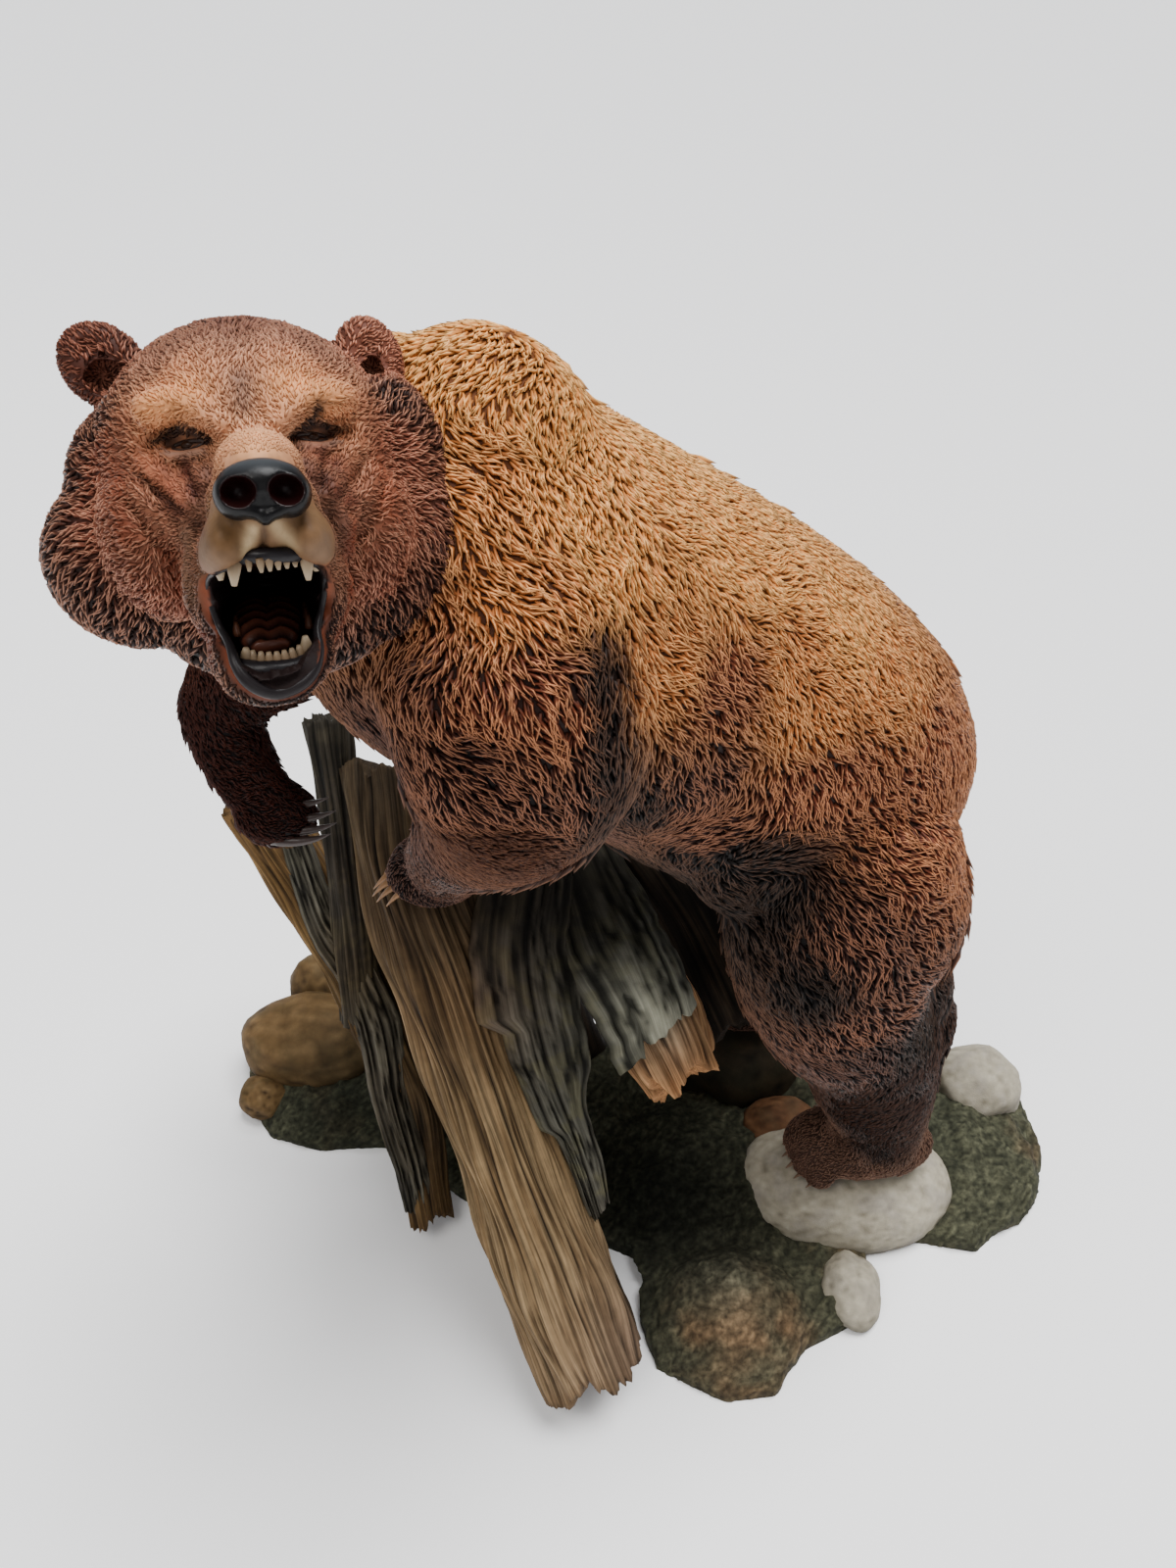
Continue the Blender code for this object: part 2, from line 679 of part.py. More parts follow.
def main_log(grow=0.0):
    return log("main_log", MAIN_LOG, 18, 14, sides=16, grow=grow, seed=4, steps=2)


def seats(gap):
    """The stones and the log where the bear stands, grown by the gap."""
    return [hind_stone(gap), far_rock(gap), main_log(gap)]


def plate():
    outline = np.array(GROUND_OUTLINE, float) * UNIT
    centre = at(5, 12)
    levels = [(1.0, -1.0), (1.0, 0.5), (0.95, 1.0), (0.5, 1.2)]
    points, faces = [], []
    count = len(outline)
    for share, height in levels:
        for p in outline:
            q = centre + (p - centre) * share
            points.append((q[0], q[1], height * GROUND_THICKNESS))
    for i in range(len(levels) - 1):
        for k in range(count):
            n = (k + 1) % count
            faces.append((i * count + k, i * count + n, (i + 1) * count + n, (i + 1) * count + k))
    faces.append(tuple(range(count)))
    faces.append(tuple(range(len(points) - count, len(points))))
    return object_from("plate", points, faces)


def ground():
    """The moss plate with its mounds, rough on top."""
    forms = [
        plate(),
        blob("front_mound", at(46, -54, 2), at(27, 24, 13)),
        blob("middle_mound", at(38, 0, 2), at(38, 34, 12)),
        blob("right_mound", at(136, 4, 2), at(30, 30, 12)),
        blob("rear_mound", at(96, 44, 2), at(44, 22, 14)),
        blob("left_mound", at(-98, 44, 2), at(34, 36, 12)),
        blob("pile_mound", at(-30, 34, 2), at(60, 34, 22)),
    ]
    moss = fused("moss", forms, GROUND_VOXEL, 3)
    for vertex in moss.data.vertices:
        if vertex.co.z > 0:
            vertex.co.z += sum(high * noise.noise(vertex.co / wide) for high, wide in MOSS_BUMPS)
    return thinned(moss, GROUND_TRIANGLES)


def table():
    """A block whose top is the plane that the underside is cut to."""
    mesh = bpy.data.meshes.new("table")
    work = bmesh.new()
    bmesh.ops.create_cube(work, size=1)
    bmesh.ops.translate(work, verts=work.verts, vec=(0, 0, -0.5))
    work.to_mesh(mesh)
    work.free()
    return add_object("table", mesh)


def base():
    whole = ground()
    whole.name = "base"
    forms = [
        hind_stone(),
        far_rock(),
        stone("small_stone", (88, -46, 4), (10, 13, 8), 5),
        stone("rear_stone", (150, 33, 8), (17, 16, 13), 6),
        stone("back_stone", (112, 52, 8), (20, 15, 15), 9, detail=2),
        stone("brown_stone", (72, 14, 9), (15, 11, 9), 12),
        stone("left_stone", (-107, 48, 15), (28, 20, 16), 7, detail=2),
        stone("top_stone", (-108, 74, 17), (14, 12, 15), 8),
        stone("low_stone", (-124, 28, 7), (9, 9, 8), 10),
        log("core", [(-18, 40, -4), (-24, 36, 30), (-33, 32, 66), (-46, 26, 112)], 30, 22, sides=14, seed=2),
        main_log(),
        log("broken_log", [(31, -10, 71), (19, 10, 86), (3, 35, 104), (-14, 58, 122)], 17, 15, seed=5, sides=14,
            foot=0.8),
        log("left_log", [(-55, -22, 9), (-63, 3, 43), (-83, 31, 85), (-112, 62, 128)], 13, 11, seed=6, foot=0.66),
        log("back_log", [(-77, 17, 68), (-79, 39, 124), (-81, 55, 168)], 7.5, 6.5, seed=8),
        log("dark_log", [(51, 17, 65), (33, 42, 94), (8, 60, 129)], 20, 10, seed=9),
        log("rear_log", [(-96, 78, 10), (-60, 66, 70), (-30, 56, 128)], 15, 12, seed=10),
        slab("long_slab", [(-16, 21, 136, 13), (-19, 1, 119, 15), (-14, -18, 97, 14),
                           (-4, -33, 72, 9), (3, -45, 52, 5)], seed=1),
        slab("short_slab", [(-4, 38, 135, 12), (4, 22, 124, 16), (13, 7, 111, 18),
                            (20, -4, 100, 17)], seed=2),
        slab("left_slab", [(-96, 46, 121, 5), (-87, 30, 100, 6.5), (-77, 21, 87, 7), (-70, 11, 70, 7.5),
                           (-66, -4, 50, 7.5), (-60, -17, 32, 6.5), (-58, -23, 15, 4.5)], seed=3),
    ]
    for form in forms:
        boolean(whole, form, "UNION")
    boolean(whole, table(), "DIFFERENCE")
    whole.data.materials.clear()
    whole.data.materials.append(material("base resin", (0.25, 0.22, 0.16), 0.7))
    return whole


clear_scene()
bear()
base()
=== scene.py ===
# %% [markdown]
# # A roaring bear on driftwood
# The real object is a painted resin statue, about 32 cm high. A bear steps down a pile of
# driftwood and turns its head to roar at whoever stands in front. It is cast in two pieces, the
# bear and its base, and each is finished by brush: a dark wash that stays in the hollows, the
# coat's own colour, and a pale dry brush over every tip.
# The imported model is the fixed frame. It gives the size and the place of both castings.

# %% Load the frame
import json
import math

import bpy
import numpy as np
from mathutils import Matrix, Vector, kdtree, noise
from mathutils.bvhtree import BVHTree

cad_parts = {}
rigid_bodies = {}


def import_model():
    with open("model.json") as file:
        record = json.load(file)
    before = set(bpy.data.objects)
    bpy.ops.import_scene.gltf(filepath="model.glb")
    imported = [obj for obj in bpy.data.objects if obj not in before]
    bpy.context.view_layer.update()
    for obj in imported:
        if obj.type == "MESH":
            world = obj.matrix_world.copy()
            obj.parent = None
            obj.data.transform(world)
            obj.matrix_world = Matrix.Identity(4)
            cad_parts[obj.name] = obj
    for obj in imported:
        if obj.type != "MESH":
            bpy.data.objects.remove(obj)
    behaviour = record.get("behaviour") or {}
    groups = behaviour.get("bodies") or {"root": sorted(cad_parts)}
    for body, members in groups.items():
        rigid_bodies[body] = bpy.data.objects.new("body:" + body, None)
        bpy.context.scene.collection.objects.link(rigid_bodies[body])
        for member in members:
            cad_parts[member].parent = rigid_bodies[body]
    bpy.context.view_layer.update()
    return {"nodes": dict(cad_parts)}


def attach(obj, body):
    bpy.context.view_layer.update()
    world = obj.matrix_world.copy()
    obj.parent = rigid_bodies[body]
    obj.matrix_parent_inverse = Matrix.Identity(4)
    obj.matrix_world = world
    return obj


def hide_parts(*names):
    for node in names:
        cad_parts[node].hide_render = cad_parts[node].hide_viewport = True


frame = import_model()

MM = 0.001
print("castings:", sorted(frame["nodes"]))

# %% [markdown]
# ## Camera, floor and light
# The statue is seen from above, by a camera that is pitched forty degrees down. The focal length
# is given in pixels of the picture's height, so it is turned into millimetres of a 36 mm sensor.
# The floor is a plain pale sheet. A soft light from the ceiling falls evenly on it, two soft
# lamps stand at the front, and a pale room is all round.

# %% Camera
PICTURE_HEIGHT = 1600
FOCAL_PIXELS = 1150
SENSOR = 36.0
CAMERA_PLACE = (0, -226 * MM, 376 * MM)
CAMERA_PITCH = math.radians(40)

bpy.ops.object.camera_add(location=CAMERA_PLACE, rotation=(math.pi / 2 - CAMERA_PITCH, 0, 0))
camera = bpy.context.object
camera.name = "camera"
camera.data.sensor_width = SENSOR
camera.data.lens = FOCAL_PIXELS / PICTURE_HEIGHT * SENSOR
camera.data.clip_start = 0.01
bpy.context.scene.camera = camera
print("lens in mm:", round(camera.data.lens, 2))


# %% Floor and lamps
def plain_material(name, colour, roughness):
    """A material whose colour and roughness are the same everywhere."""
    made = bpy.data.materials.new(name)
    made.use_nodes = True
    shader = made.node_tree.nodes["Principled BSDF"]
    shader.inputs["Base Color"].default_value = (*colour, 1)
    shader.inputs["Roughness"].default_value = roughness
    return made


def lamp(name, place, target, size, watts, colour):
    """A square soft lamp that looks at the target."""
    bpy.ops.object.light_add(type="AREA", location=place)
    made = bpy.context.object
    made.name = name
    made.data.size = size
    made.data.energy = watts
    made.data.color = colour
    way = Vector(target) - Vector(place)
    made.rotation_euler = way.to_track_quat("-Z", "Y").to_euler()
    return made


BEAR_MIDDLE = (0.0, 0.0, 0.16)
FLOOR_SIDE = 12.0
FLOOR_DROP = 0.1 * MM
FLOOR_COLOUR = (0.96, 0.96, 0.965)
LAMP_SIZE = 0.6
# Each soft lamp's place in metres, its watts and its colour.
LAMPS = {
    "key_lamp": ((-0.45, -0.55, 1.40), 9.0, (1.0, 0.97, 0.93)),
    "front_lamp": ((0.45, -1.10, 0.75), 1.2, (1.0, 0.98, 0.96)),
}
CEILING_TILT = (math.radians(-8), math.radians(14), 0)
CEILING_POWER = 5.0
CEILING_SPREAD = math.radians(35)
ROOM_COLOUR = (0.86, 0.88, 0.92)
ROOM_POWER = 0.42

bpy.ops.mesh.primitive_plane_add(size=FLOOR_SIDE, location=(0, 0, -FLOOR_DROP))
floor = bpy.context.object
floor.name = "floor"
floor.data.materials.append(plain_material("pale floor", FLOOR_COLOUR, 0.6))

for name, (place, watts, colour) in LAMPS.items():
    lamp(name, place, BEAR_MIDDLE, LAMP_SIZE, watts, colour)
bpy.ops.object.light_add(type="SUN", rotation=CEILING_TILT)
ceiling_light = bpy.context.object
ceiling_light.name = "ceiling_light"
ceiling_light.data.energy = CEILING_POWER
ceiling_light.data.angle = CEILING_SPREAD
world = bpy.data.worlds.new("pale room")
world.use_nodes = True
background = world.node_tree.nodes["Background"]
background.inputs["Color"].default_value = (*ROOM_COLOUR, 1)
background.inputs["Strength"].default_value = ROOM_POWER
bpy.context.scene.world = world

# %% [markdown]
# ## Small helpers
# The same few things are done for every piece. An operator acts on all that is selected, so
# `only` selects just the piece in hand. `apply_all` makes the modifiers part of the mesh.
# `closed_up` turns a loose net of faces into a closed skin whose normals all look outwards.
# Points are read and written as one array, because that is far quicker than one by one.


# %% Helpers for selecting, applying and reading meshes
def only(*objects):
    """Select these objects and nothing else, with the first one active."""
    bpy.ops.object.select_all(action="DESELECT")
    for obj in objects:
        obj.select_set(True)
    bpy.context.view_layer.objects.active = objects[0]
    return objects[0]


def apply_all(obj):
    only(obj)
    for modifier in list(obj.modifiers):
        bpy.ops.object.modifier_apply(modifier=modifier.name)
    return obj


def settled(obj):
    """The object with its place, turn and scale moved into its mesh."""
    only(obj)
    bpy.ops.object.transform_apply(location=True, rotation=True, scale=True)
    return obj


def smoothed(obj):
    """The object shaded smooth."""
    only(obj)
    bpy.ops.object.shade_smooth()
    return obj


def closed_up(obj, fill=True):
    """The object with its holes filled, its normals outwards and its shading smooth."""
    only(obj)
    bpy.ops.object.mode_set(mode="EDIT")
    bpy.ops.mesh.select_all(action="SELECT")
    if fill:
        bpy.ops.mesh.fill_holes(sides=0)
        bpy.ops.mesh.select_all(action="SELECT")
    bpy.ops.mesh.normals_make_consistent(inside=False)
    bpy.ops.object.mode_set(mode="OBJECT")
    bpy.ops.object.shade_smooth()
    return obj


def joined(name, objects):
    only(*objects)
    bpy.ops.object.join()
    made = bpy.context.object
    made.name = name
    return made


def points_of(obj, kind="co"):
    found = np.empty(len(obj.data.vertices) * 3, np.float32)
    obj.data.vertices.foreach_get(kind, found)
    return found.reshape(-1, 3).astype(float)


def set_points(obj, points):
    obj.data.vertices.foreach_set("co", points.ravel())
    obj.data.update()
    return obj


def unit(vectors):
    vectors = np.asarray(vectors, float)
    return vectors / np.maximum(np.linalg.norm(vectors, axis=-1, keepdims=True), 1e-12)


def triangles_of(obj):
    return sum(len(face.vertices) - 2 for face in obj.data.polygons)


def mesh_piece(name, points, faces):
    """A piece from an array of points and an array of faces that all have the same corners."""
    corners = faces.shape[1]
    mesh = bpy.data.meshes.new(name)
    mesh.vertices.add(len(points))
    mesh.vertices.foreach_set("co", points.ravel())
    mesh.loops.add(faces.size)
    mesh.loops.foreach_set("vertex_index", faces.ravel().astype(np.int32))
    mesh.polygons.add(len(faces))
    mesh.polygons.foreach_set("loop_start", np.arange(0, faces.size, corners, dtype=np.int32))
    mesh.update(calc_edges=True)
    made = bpy.data.objects.new(name, mesh)
    bpy.context.scene.collection.objects.link(made)
    return made


def ring_faces(first, second, sides):
    """The faces between two rings of points, which are given by their numbers."""
    spin = np.arange(sides)
    follow = (spin + 1) % sides
    near, far = first * sides, second * sides
    return np.column_stack([near + spin, near + follow, far + follow, far + spin])


def through(rows, steps):
    """Rows of numbers read at even steps from a smooth curve through the given ones."""
    rows = np.array(rows, float)
    ends = np.vstack([2 * rows[0] - rows[1], rows, 2 * rows[-1] - rows[-2]])
    found = []
    for a, b, c, d in zip(ends[:-3], ends[1:-2], ends[2:-1], ends[3:]):
        for t in np.arange(steps) / steps:
            bend = (2 * a - 5 * b + 4 * c - d) * t * t
            twist = (3 * b - a - 3 * c + d) * t**3
            found.append(0.5 * (2 * b + (c - a) * t + bend + twist))
    return np.array(found + [rows[-1]])


# %% [markdown]
# ## The bear's body
# A sculptor would press pellets of clay along a wire and smooth them into one skin. The same is
# done here. Balls lie close together along each limb, each stretched to the limb's width and
# depth at its place. A Remesh modifier then fuses the heap into one closed skin, and a Smooth
# modifier softens the creases. The tables give a limb's middle line and its half width, its
# height above the line and its depth below it, in millimetres.

# %% The tables of the limbs
ACROSS = unit((0.38, -0.925, 0))
TORSO = (
    (86, 28, 165, 20, 20, 20),
    (75, 24, 174, 35, 35, 36),
    (59, 17, 187, 43, 43, 44),
    (40, 10, 203, 45, 46, 46),
    (20, 3, 221, 44, 45, 45),
    (-5, -7, 241, 46, 44, 44),
    (-26, -13, 256, 44, 43, 42),
    (-40, -19, 266, 32, 40, 33),
    (-50, -27, 275, 22, 28, 24),
)
NEAR_HIND = (
    (74, -6, 172, 28, 34, 24),
    (69, -12, 148, 28, 32, 26),
    (74, -13, 122, 26, 28, 23),
    (85, -11, 97, 22, 22, 21),
    (93, -8, 72, 19, 21, 18),
    (98, -6, 52, 16, 18, 15),
    (99, -6, 36, 15, 18, 16),
)
FAR_HIND = (
    (80, 52, 160, 25, 30, 24),
    (72, 60, 132, 24, 29, 26),
    (71, 61, 106, 20, 23, 23),
    (75, 57, 82, 17, 18, 20),
    (74, 52, 64, 14, 15, 16),
    (70, 49, 50, 13, 14, 15),
)
NEAR_FORE = (
    (-12, -42, 250, 23, 30, 28),
    (-12, -46, 232, 21, 26, 24),
    (-15, -42, 217, 18, 20, 16),
    (-25, -28, 196, 14, 16, 14),
    (-34, -9, 172, 12, 13, 12),
    (-40, 6, 153, 12, 12, 11),
)
FAR_FORE = (
    (-40, 14, 244, 20, 24, 24),
    (-64, 10, 232, 16, 18, 18),
    (-82, 2, 222, 12, 13, 13),
    (-89, -3, 211, 9, 10, 9),
    (-86, -9, 199, 8, 8, 8),
    (-79, -14, 191, 7, 7, 7),
)
MUSCLES = (
    ((-22, -15, 280), (25, 24, 27.5)),
    ((-13, -42, 245), (27, 20, 33)),
    ((-36, 18, 248), (25, 20, 32)),
    ((-38, -11, 280), (24, 22, 24)),
    ((42, -15, 182), (19, 16, 24)),
    ((95, -7, 115), (12, 13, 19)),
    ((71, -12, 152), (31, 25, 36)),
    ((76, 56, 148), (30, 24, 34)),
    ((101, 33, 163), (6, 7, 12)),
    ((102, -5, 95), (11, 12, 15)),
    ((93, -7, 32), (26, 14, 9)),
    ((60, 45, 44), (24, 13, 9)),
    ((-44, 9, 147), (14, 13, 9)),
    ((-78, -15, 189), (10, 8, 7)),
)
print("limbs: torso and four legs, muscles and feet:", len(MUSCLES))


# %% Pellets of clay along the limbs
def ball(name, centre, radii, turn=np.identity(3), detail=3):
    """A ball stretched along the columns of the turn, all in millimetres."""
    bpy.ops.mesh.primitive_ico_sphere_add(subdivisions=detail, radius=1)
    made = bpy.context.object
    made.name = name
    grown = points_of(made) * np.array(radii) @ np.array(turn).T + np.array(centre)
    return set_points(made, grown * MM)


def clay_string(name, rows, steps=4):
    """Pellets along a limb, near enough to each other to fuse into one smooth form."""
    rows = through(rows, steps)
    along = unit(np.gradient(rows[:, :3], axis=0))
    made = []
    for row, way in zip(rows, along):
        half, up, down = row[3:]
        side = unit(ACROSS - np.dot(ACROSS, way) * way)
        top = np.cross(way, side)
        turn = np.column_stack([way, side, top])
        centre = row[:3] + top * (up - down) / 2
        radii = (0.25 * (half * 2 + up + down) * 0.75, half, (up + down) / 2)
        made.append(ball(name, centre, radii, turn))
    return made


def fused(name, parts, voxel, rounds):
    """Overlapping forms made one closed skin, with the creases between them softened."""
    made = joined(name, parts) if len(parts) > 1 else parts[0]
    remesh = made.modifiers.new("Fuse", "REMESH")
    remesh.mode = "VOXEL"
    remesh.voxel_size = voxel * MM
    soften = made.modifiers.new("Soften", "SMOOTH")
    soften.factor = 0.5
    soften.iterations = rounds
    return apply_all(made)


def thinned(obj, triangles):
    """The piece with about that many triangles, most of them kept where it bends."""
    fewer = obj.modifiers.new("Thin", "DECIMATE")
    fewer.ratio = min(1.0, triangles / triangles_of(obj))
    return apply_all(obj)


def toes(centre, ahead, across, spread, radius):
    """Four toes side by side at the front of a foot."""
    made = []
    for k in (-1.5, -0.5, 0.5, 1.5):
        place = np.array(centre) + np.array(across) * spread * k
        place = place + np.array(ahead) * (2.5 - 1.2 * k * k)
        made.append(ball("toe", place, (radius * 1.3, radius, radius)))
    return made


BODY_VOXEL = 1.5
# Where each foot's toes are, their way ahead and across, the gap between two and their radius.
TOE_ROWS = (
    ((76, -12, 29), (-1, -0.3, 0), (0.3, -1, 0), 5.2, 3.6),
    ((43, 41, 42), (-1, -0.2, 0), (0.2, -1, 0), 5.0, 3.6),
    ((-52, 8, 145), (-1, -0.2, 0), (0.2, -1, 0.2), 4.8, 3.4),
)
clay = []
for rows in (TORSO, NEAR_HIND, FAR_HIND, NEAR_FORE, FAR_FORE):
    clay += clay_string("limb", rows)
clay += [ball("muscle", centre, radii) for centre, radii in MUSCLES]
for row in TOE_ROWS:
    clay += toes(*row)
body = fused("body", clay, BODY_VOXEL, 5)
print("body:", triangles_of(body), "triangles")

# %% [markdown]
# ## The head
# The head is built in a frame of its own, in millimetres: x to the viewer's right, y into the
# head and z up. So left and right are easy to keep alike, and one matrix puts the head on the
# neck. It is fused from balls as the body is, but more than twice as fine. Then the mouth and
# the ears are cut out with Boolean modifiers, before a second fusing rounds the edges.

# %% The head's place, and its forms
HEAD_VOXEL = 0.6
HEAD_LAST_VOXEL = 0.52
HEAD_CENTRE = np.array((-57.0, -48.0, 286.0))
GAZE = unit((0.285, -0.857, 0.43))
HEAD_ROLL = math.radians(4.8)
head_right = unit(np.array((1, 0, 0)) - GAZE[0] * GAZE)
head_up = np.cross(head_right, -GAZE)
roll_cos, roll_sin = math.cos(HEAD_ROLL), math.sin(HEAD_ROLL)
HEAD_AXES = np.column_stack([
    roll_cos * head_right + roll_sin * head_up,
    -GAZE,
    roll_cos * head_up - roll_sin * head_right,
])

# The balls of the head, and those that are cut out of it: the middle, the radii and the lean.
HEAD_FORMS = (
    ((1, 4, 6.5), (27, 26, 26.5), 0),
    ((2, 9, 14), (24, 18, 19), 0),
    ((-16.5, 6, 5), (13.5, 14, 17), 0),
    ((20.5, 3, 6), (14, 13, 19), 0),
    ((1, -6, 14), (17, 18, 15), 0),
    ((-19, 6, -4.5), (16.5, 15, 15.5), 0),
    ((20, 3, -4), (16, 14, 19), 0),
    ((2, 4, -14), (22, 17, 14), 0),
    ((-14, -6, -1), (11, 13, 14), 0),
    ((15, -6, -2), (11, 13, 14), 0),
    ((-9, -15.5, 16.4), (7, 5, 3.6), 12),
    ((11, -15.5, 16.4), (7, 5, 3.6), -12),
    ((0.8, -17, 0), (15, 11, 12.5), 0),
    ((1, -26, 7), (6.5, 18, 6), 0),
    ((0.6, -31, 1), (8.3, 15, 7.5), 0),
    ((-4.9, -36, -2.4), (3.9, 9, 5.2), 26),
    ((6.0, -36, -2.6), (3.9, 9, 5.2), -26),
    ((0, -20, -10), (12.5, 15, 14), 0),
    ((-1, -24, -20), (9.5, 14, 7.5), 0),
    ((-1.6, -31, -22.5), (7.4, 6, 4.6), 0),
    ((-21, 7.5, 27), (6.5, 4.8, 7.5), -42),
    ((22.9, 5, 25), (6, 4.8, 7.8), -5),
)
HEAD_CUTS = (
    ((0, -34, -9.2), (8.4, 24, 4.8), 0),
    ((-0.6, -30, -14), (7.6, 22, 6.8), 0),
    ((-1.2, -33, -18.2), (5.6, 17, 3.2), 0),
    ((0, -43, -13.5), (20, 16, 5.2), 0),
    ((-20.4, 2.6, 24.4), (4.0, 3.8, 2.4), -17),
    ((22.2, 0.4, 21.8), (2.2, 3.8, 3.4), 20),
)


def lean(degrees):
    """A turn about the head's own front-to-back line."""
    c, s = math.cos(math.radians(degrees)), math.sin(math.radians(degrees))
    return np.array(((c, 0, s), (0, 1, 0), (-s, 0, c)))


def cut_out(obj, cutter):
    modifier = obj.modifiers.new("Cut", "BOOLEAN")
    modifier.operation = "DIFFERENCE"
    modifier.object = cutter
    apply_all(obj)
    bpy.data.objects.remove(cutter)
    return obj


head = fused("head", [ball("form", c, r, lean(d)) for c, r, d in HEAD_FORMS], HEAD_VOXEL, 3)
for centre, radii, degrees in HEAD_CUTS:
    cut_out(head, ball("cutter", centre, radii, lean(degrees)))
head = fused("head", [head], HEAD_LAST_VOXEL, 2)
print("head:", triangles_of(head), "triangles")

# %% [markdown]
# ## Modelling the face
# The snarl is in small forms: ridges over the eyes, folds beside the muzzle, the roll of the
# lips. A modelling tool presses or pulls the clay along a line, softly at its sides. `stroke`
# does the same with a list of points given from the front. Each point is dropped onto the face
# by a ray, and every vertex near the line moves along its normal.

# %% Strokes of the modelling tool
FAR_IN_FRONT = -90.0


def skin_tree(obj):
    return BVHTree.FromObject(obj, bpy.context.evaluated_depsgraph_get())


def on_face(tree, x, z):
    """Where a ray straight from the front meets the face, in the head's millimetres."""
    start = Vector((x, FAR_IN_FRONT, z)) * MM
    hit = tree.ray_cast(start, Vector((0, 1, 0)))[0]
    return np.array(hit) / MM if hit else np.array((x, 0.0, z))


def distance_to_line(points, line):
    """Each point's distance to the nearest stretch of a broken line."""
    nearest = np.full(len(points), np.inf)
    for a, b in zip(line[:-1], line[1:]):
        span = b - a
        share = np.clip((points - a) @ span / max(span @ span, 1e-9), 0, 1)
        nearest = np.minimum(nearest, np.linalg.norm(points - a - share[:, None] * span, axis=1))
    return nearest


def stroke(obj, strokes):
    """Raise or sink the skin along lines given as (points, radius, height)."""
    tree = skin_tree(obj)
    points = points_of(obj) / MM
    outward = points_of(obj, "normal")
    lift = np.zeros(len(points))
    for line, radius, height in strokes:
        dropped = [on_face(tree, x, z) for x, z in line]
        if len(dropped) == 1:
            dropped = dropped * 2
        lift += height * np.exp(-((distance_to_line(points, dropped) / radius) ** 2))
    return set_points(obj, (points + outward * lift[:, None]) * MM)


def mirrored(strokes, middle=0.9):
    """The strokes, and the same ones on the other side of the nose."""
    return strokes + [([(2 * middle - x, z) for x, z in line], r, h) for line, r, h in strokes]


stroke(head, mirrored([
    ([(-3.8, 13.8), (-6.0, 16.0), (-9.5, 17.8), (-14.0, 17.4)], 2.0, 1.5),
    ([(-5.0, 12.2), (-9.0, 12.4), (-12.6, 12.8)], 1.8, -2.2),
    ([(-14.5, 7.5), (-18.5, 2.0), (-19.0, -5.0)], 4.0, 1.0),
    ([(-7.0, 27.0), (-8.0, 21.0)], 4.0, 0.7),
    ([(-5.5, 8.5), (-7.2, 4.5), (-8.2, -0.5)], 1.6, -1.1),
]) + [
    ([(0.9, 30.0), (0.9, 22.0), (0.9, 15.5)], 2.2, -1.1),
    ([(0.9, 11.0), (0.9, 4.0)], 3.0, 0.5),
])
stroke(head, mirrored([
    ([(-5.2, 12.1), (-7.2, 13.9), (-9.1, 14.9), (-11.4, 14.2), (-14.2, 12.5)], 0.7, -0.75),
    ([(-7.0, 13.0), (-9.2, 13.6), (-12.0, 12.9)], 0.6, 0.3),
    ([(-6.2, 10.7), (-9.6, 10.4), (-12.6, 11.2)], 0.8, 0.55),
    ([(-5.6, 10.2), (-8.6, 9.2), (-12.8, 9.9)], 0.6, -0.45),
    ([(-15.5, 10.8), (-13.0, 7.4), (-10.6, 3.8)], 1.7, 0.6),
    ([(-16.4, 8.0), (-14.2, 5.6), (-10.8, 2.2)], 0.9, -0.9),
    ([(-10.8, 9.0), (-9.3, 7.6), (-8.6, 4.6)], 0.9, -0.8),
    ([(-8.6, 9.6), (-7.2, 6.4)], 0.8, 0.5),
    ([(-17.6, 6.0), (-15.4, 2.6), (-12.6, -1.5)], 1.2, 0.8),
    ([(-18.8, 4.0), (-16.8, 0.0), (-14.4, -4.0)], 0.9, -0.7),
    ([(-12.2, 0.6), (-13.4, -4.0), (-13.0, -9.0)], 1.0, -0.6),
    ([(-10.6, -1.0), (-11.4, -6.0), (-11.4, -12.0)], 1.0, 0.6),
    ([(-0.2, 19.5), (-1.0, 15.2)], 0.55, -0.45),
    ([(-2.0, 20.0), (-3.2, 15.6)], 0.55, -0.4),
    ([(-4.2, 19.6), (-5.4, 16.4)], 0.55, -0.3),
    ([(-9.4, -8.0), (-10.2, -12.0), (-8.6, -17.6), (-7.4, -21.0)], 0.9, 0.5),
]) + [
    ([(-0.5, 1.2), (-4.6, -1.0), (-8.4, -5.6)], 1.5, 0.5),
    ([(1.8, 0.8), (5.4, -1.4), (8.4, -5.6)], 1.5, 0.5),
    ([(-3.9, -0.9)], 1.7, -0.7),
    ([(4.9, -1.0)], 1.7, -0.6),
    ([(0.3, 0.4), (0.1, -2.2), (-0.3, -4.0)], 0.6, -0.9),
    ([(-8.8, -1.0), (-9.0, -5.0)], 1.5, -0.8),
    ([(10.6, -1.0), (10.4, -5.0)], 1.5, -0.8),
    ([(-3.4, -21.8), (-0.8, -22.8), (2.4, -21.8)], 1.7, -2.0),
    ([(-22.4, 29.5), (-21.0, 26.0)], 2.9, -1.7),
    ([(23.6, 27.0), (22.8, 23.6)], 2.5, -1.5),
])
print("face: strokes done, box in mm", np.round(points_of(head).min(0) / MM, 1))

# %% [markdown]
# ## Nose, eyes, lips, teeth and tongue
# Each of these is a smooth glossy thing in a matt face, so each is its own piece with its own
# paint. The nose pad is fused from balls and its nostrils are bored with a Boolean. The lips are
# a tube along the edge of the mouth, thick below and thin above. A tooth is a cone that bends a
# little. It is modelled once, and every tooth is a copy at its own place, length and width.


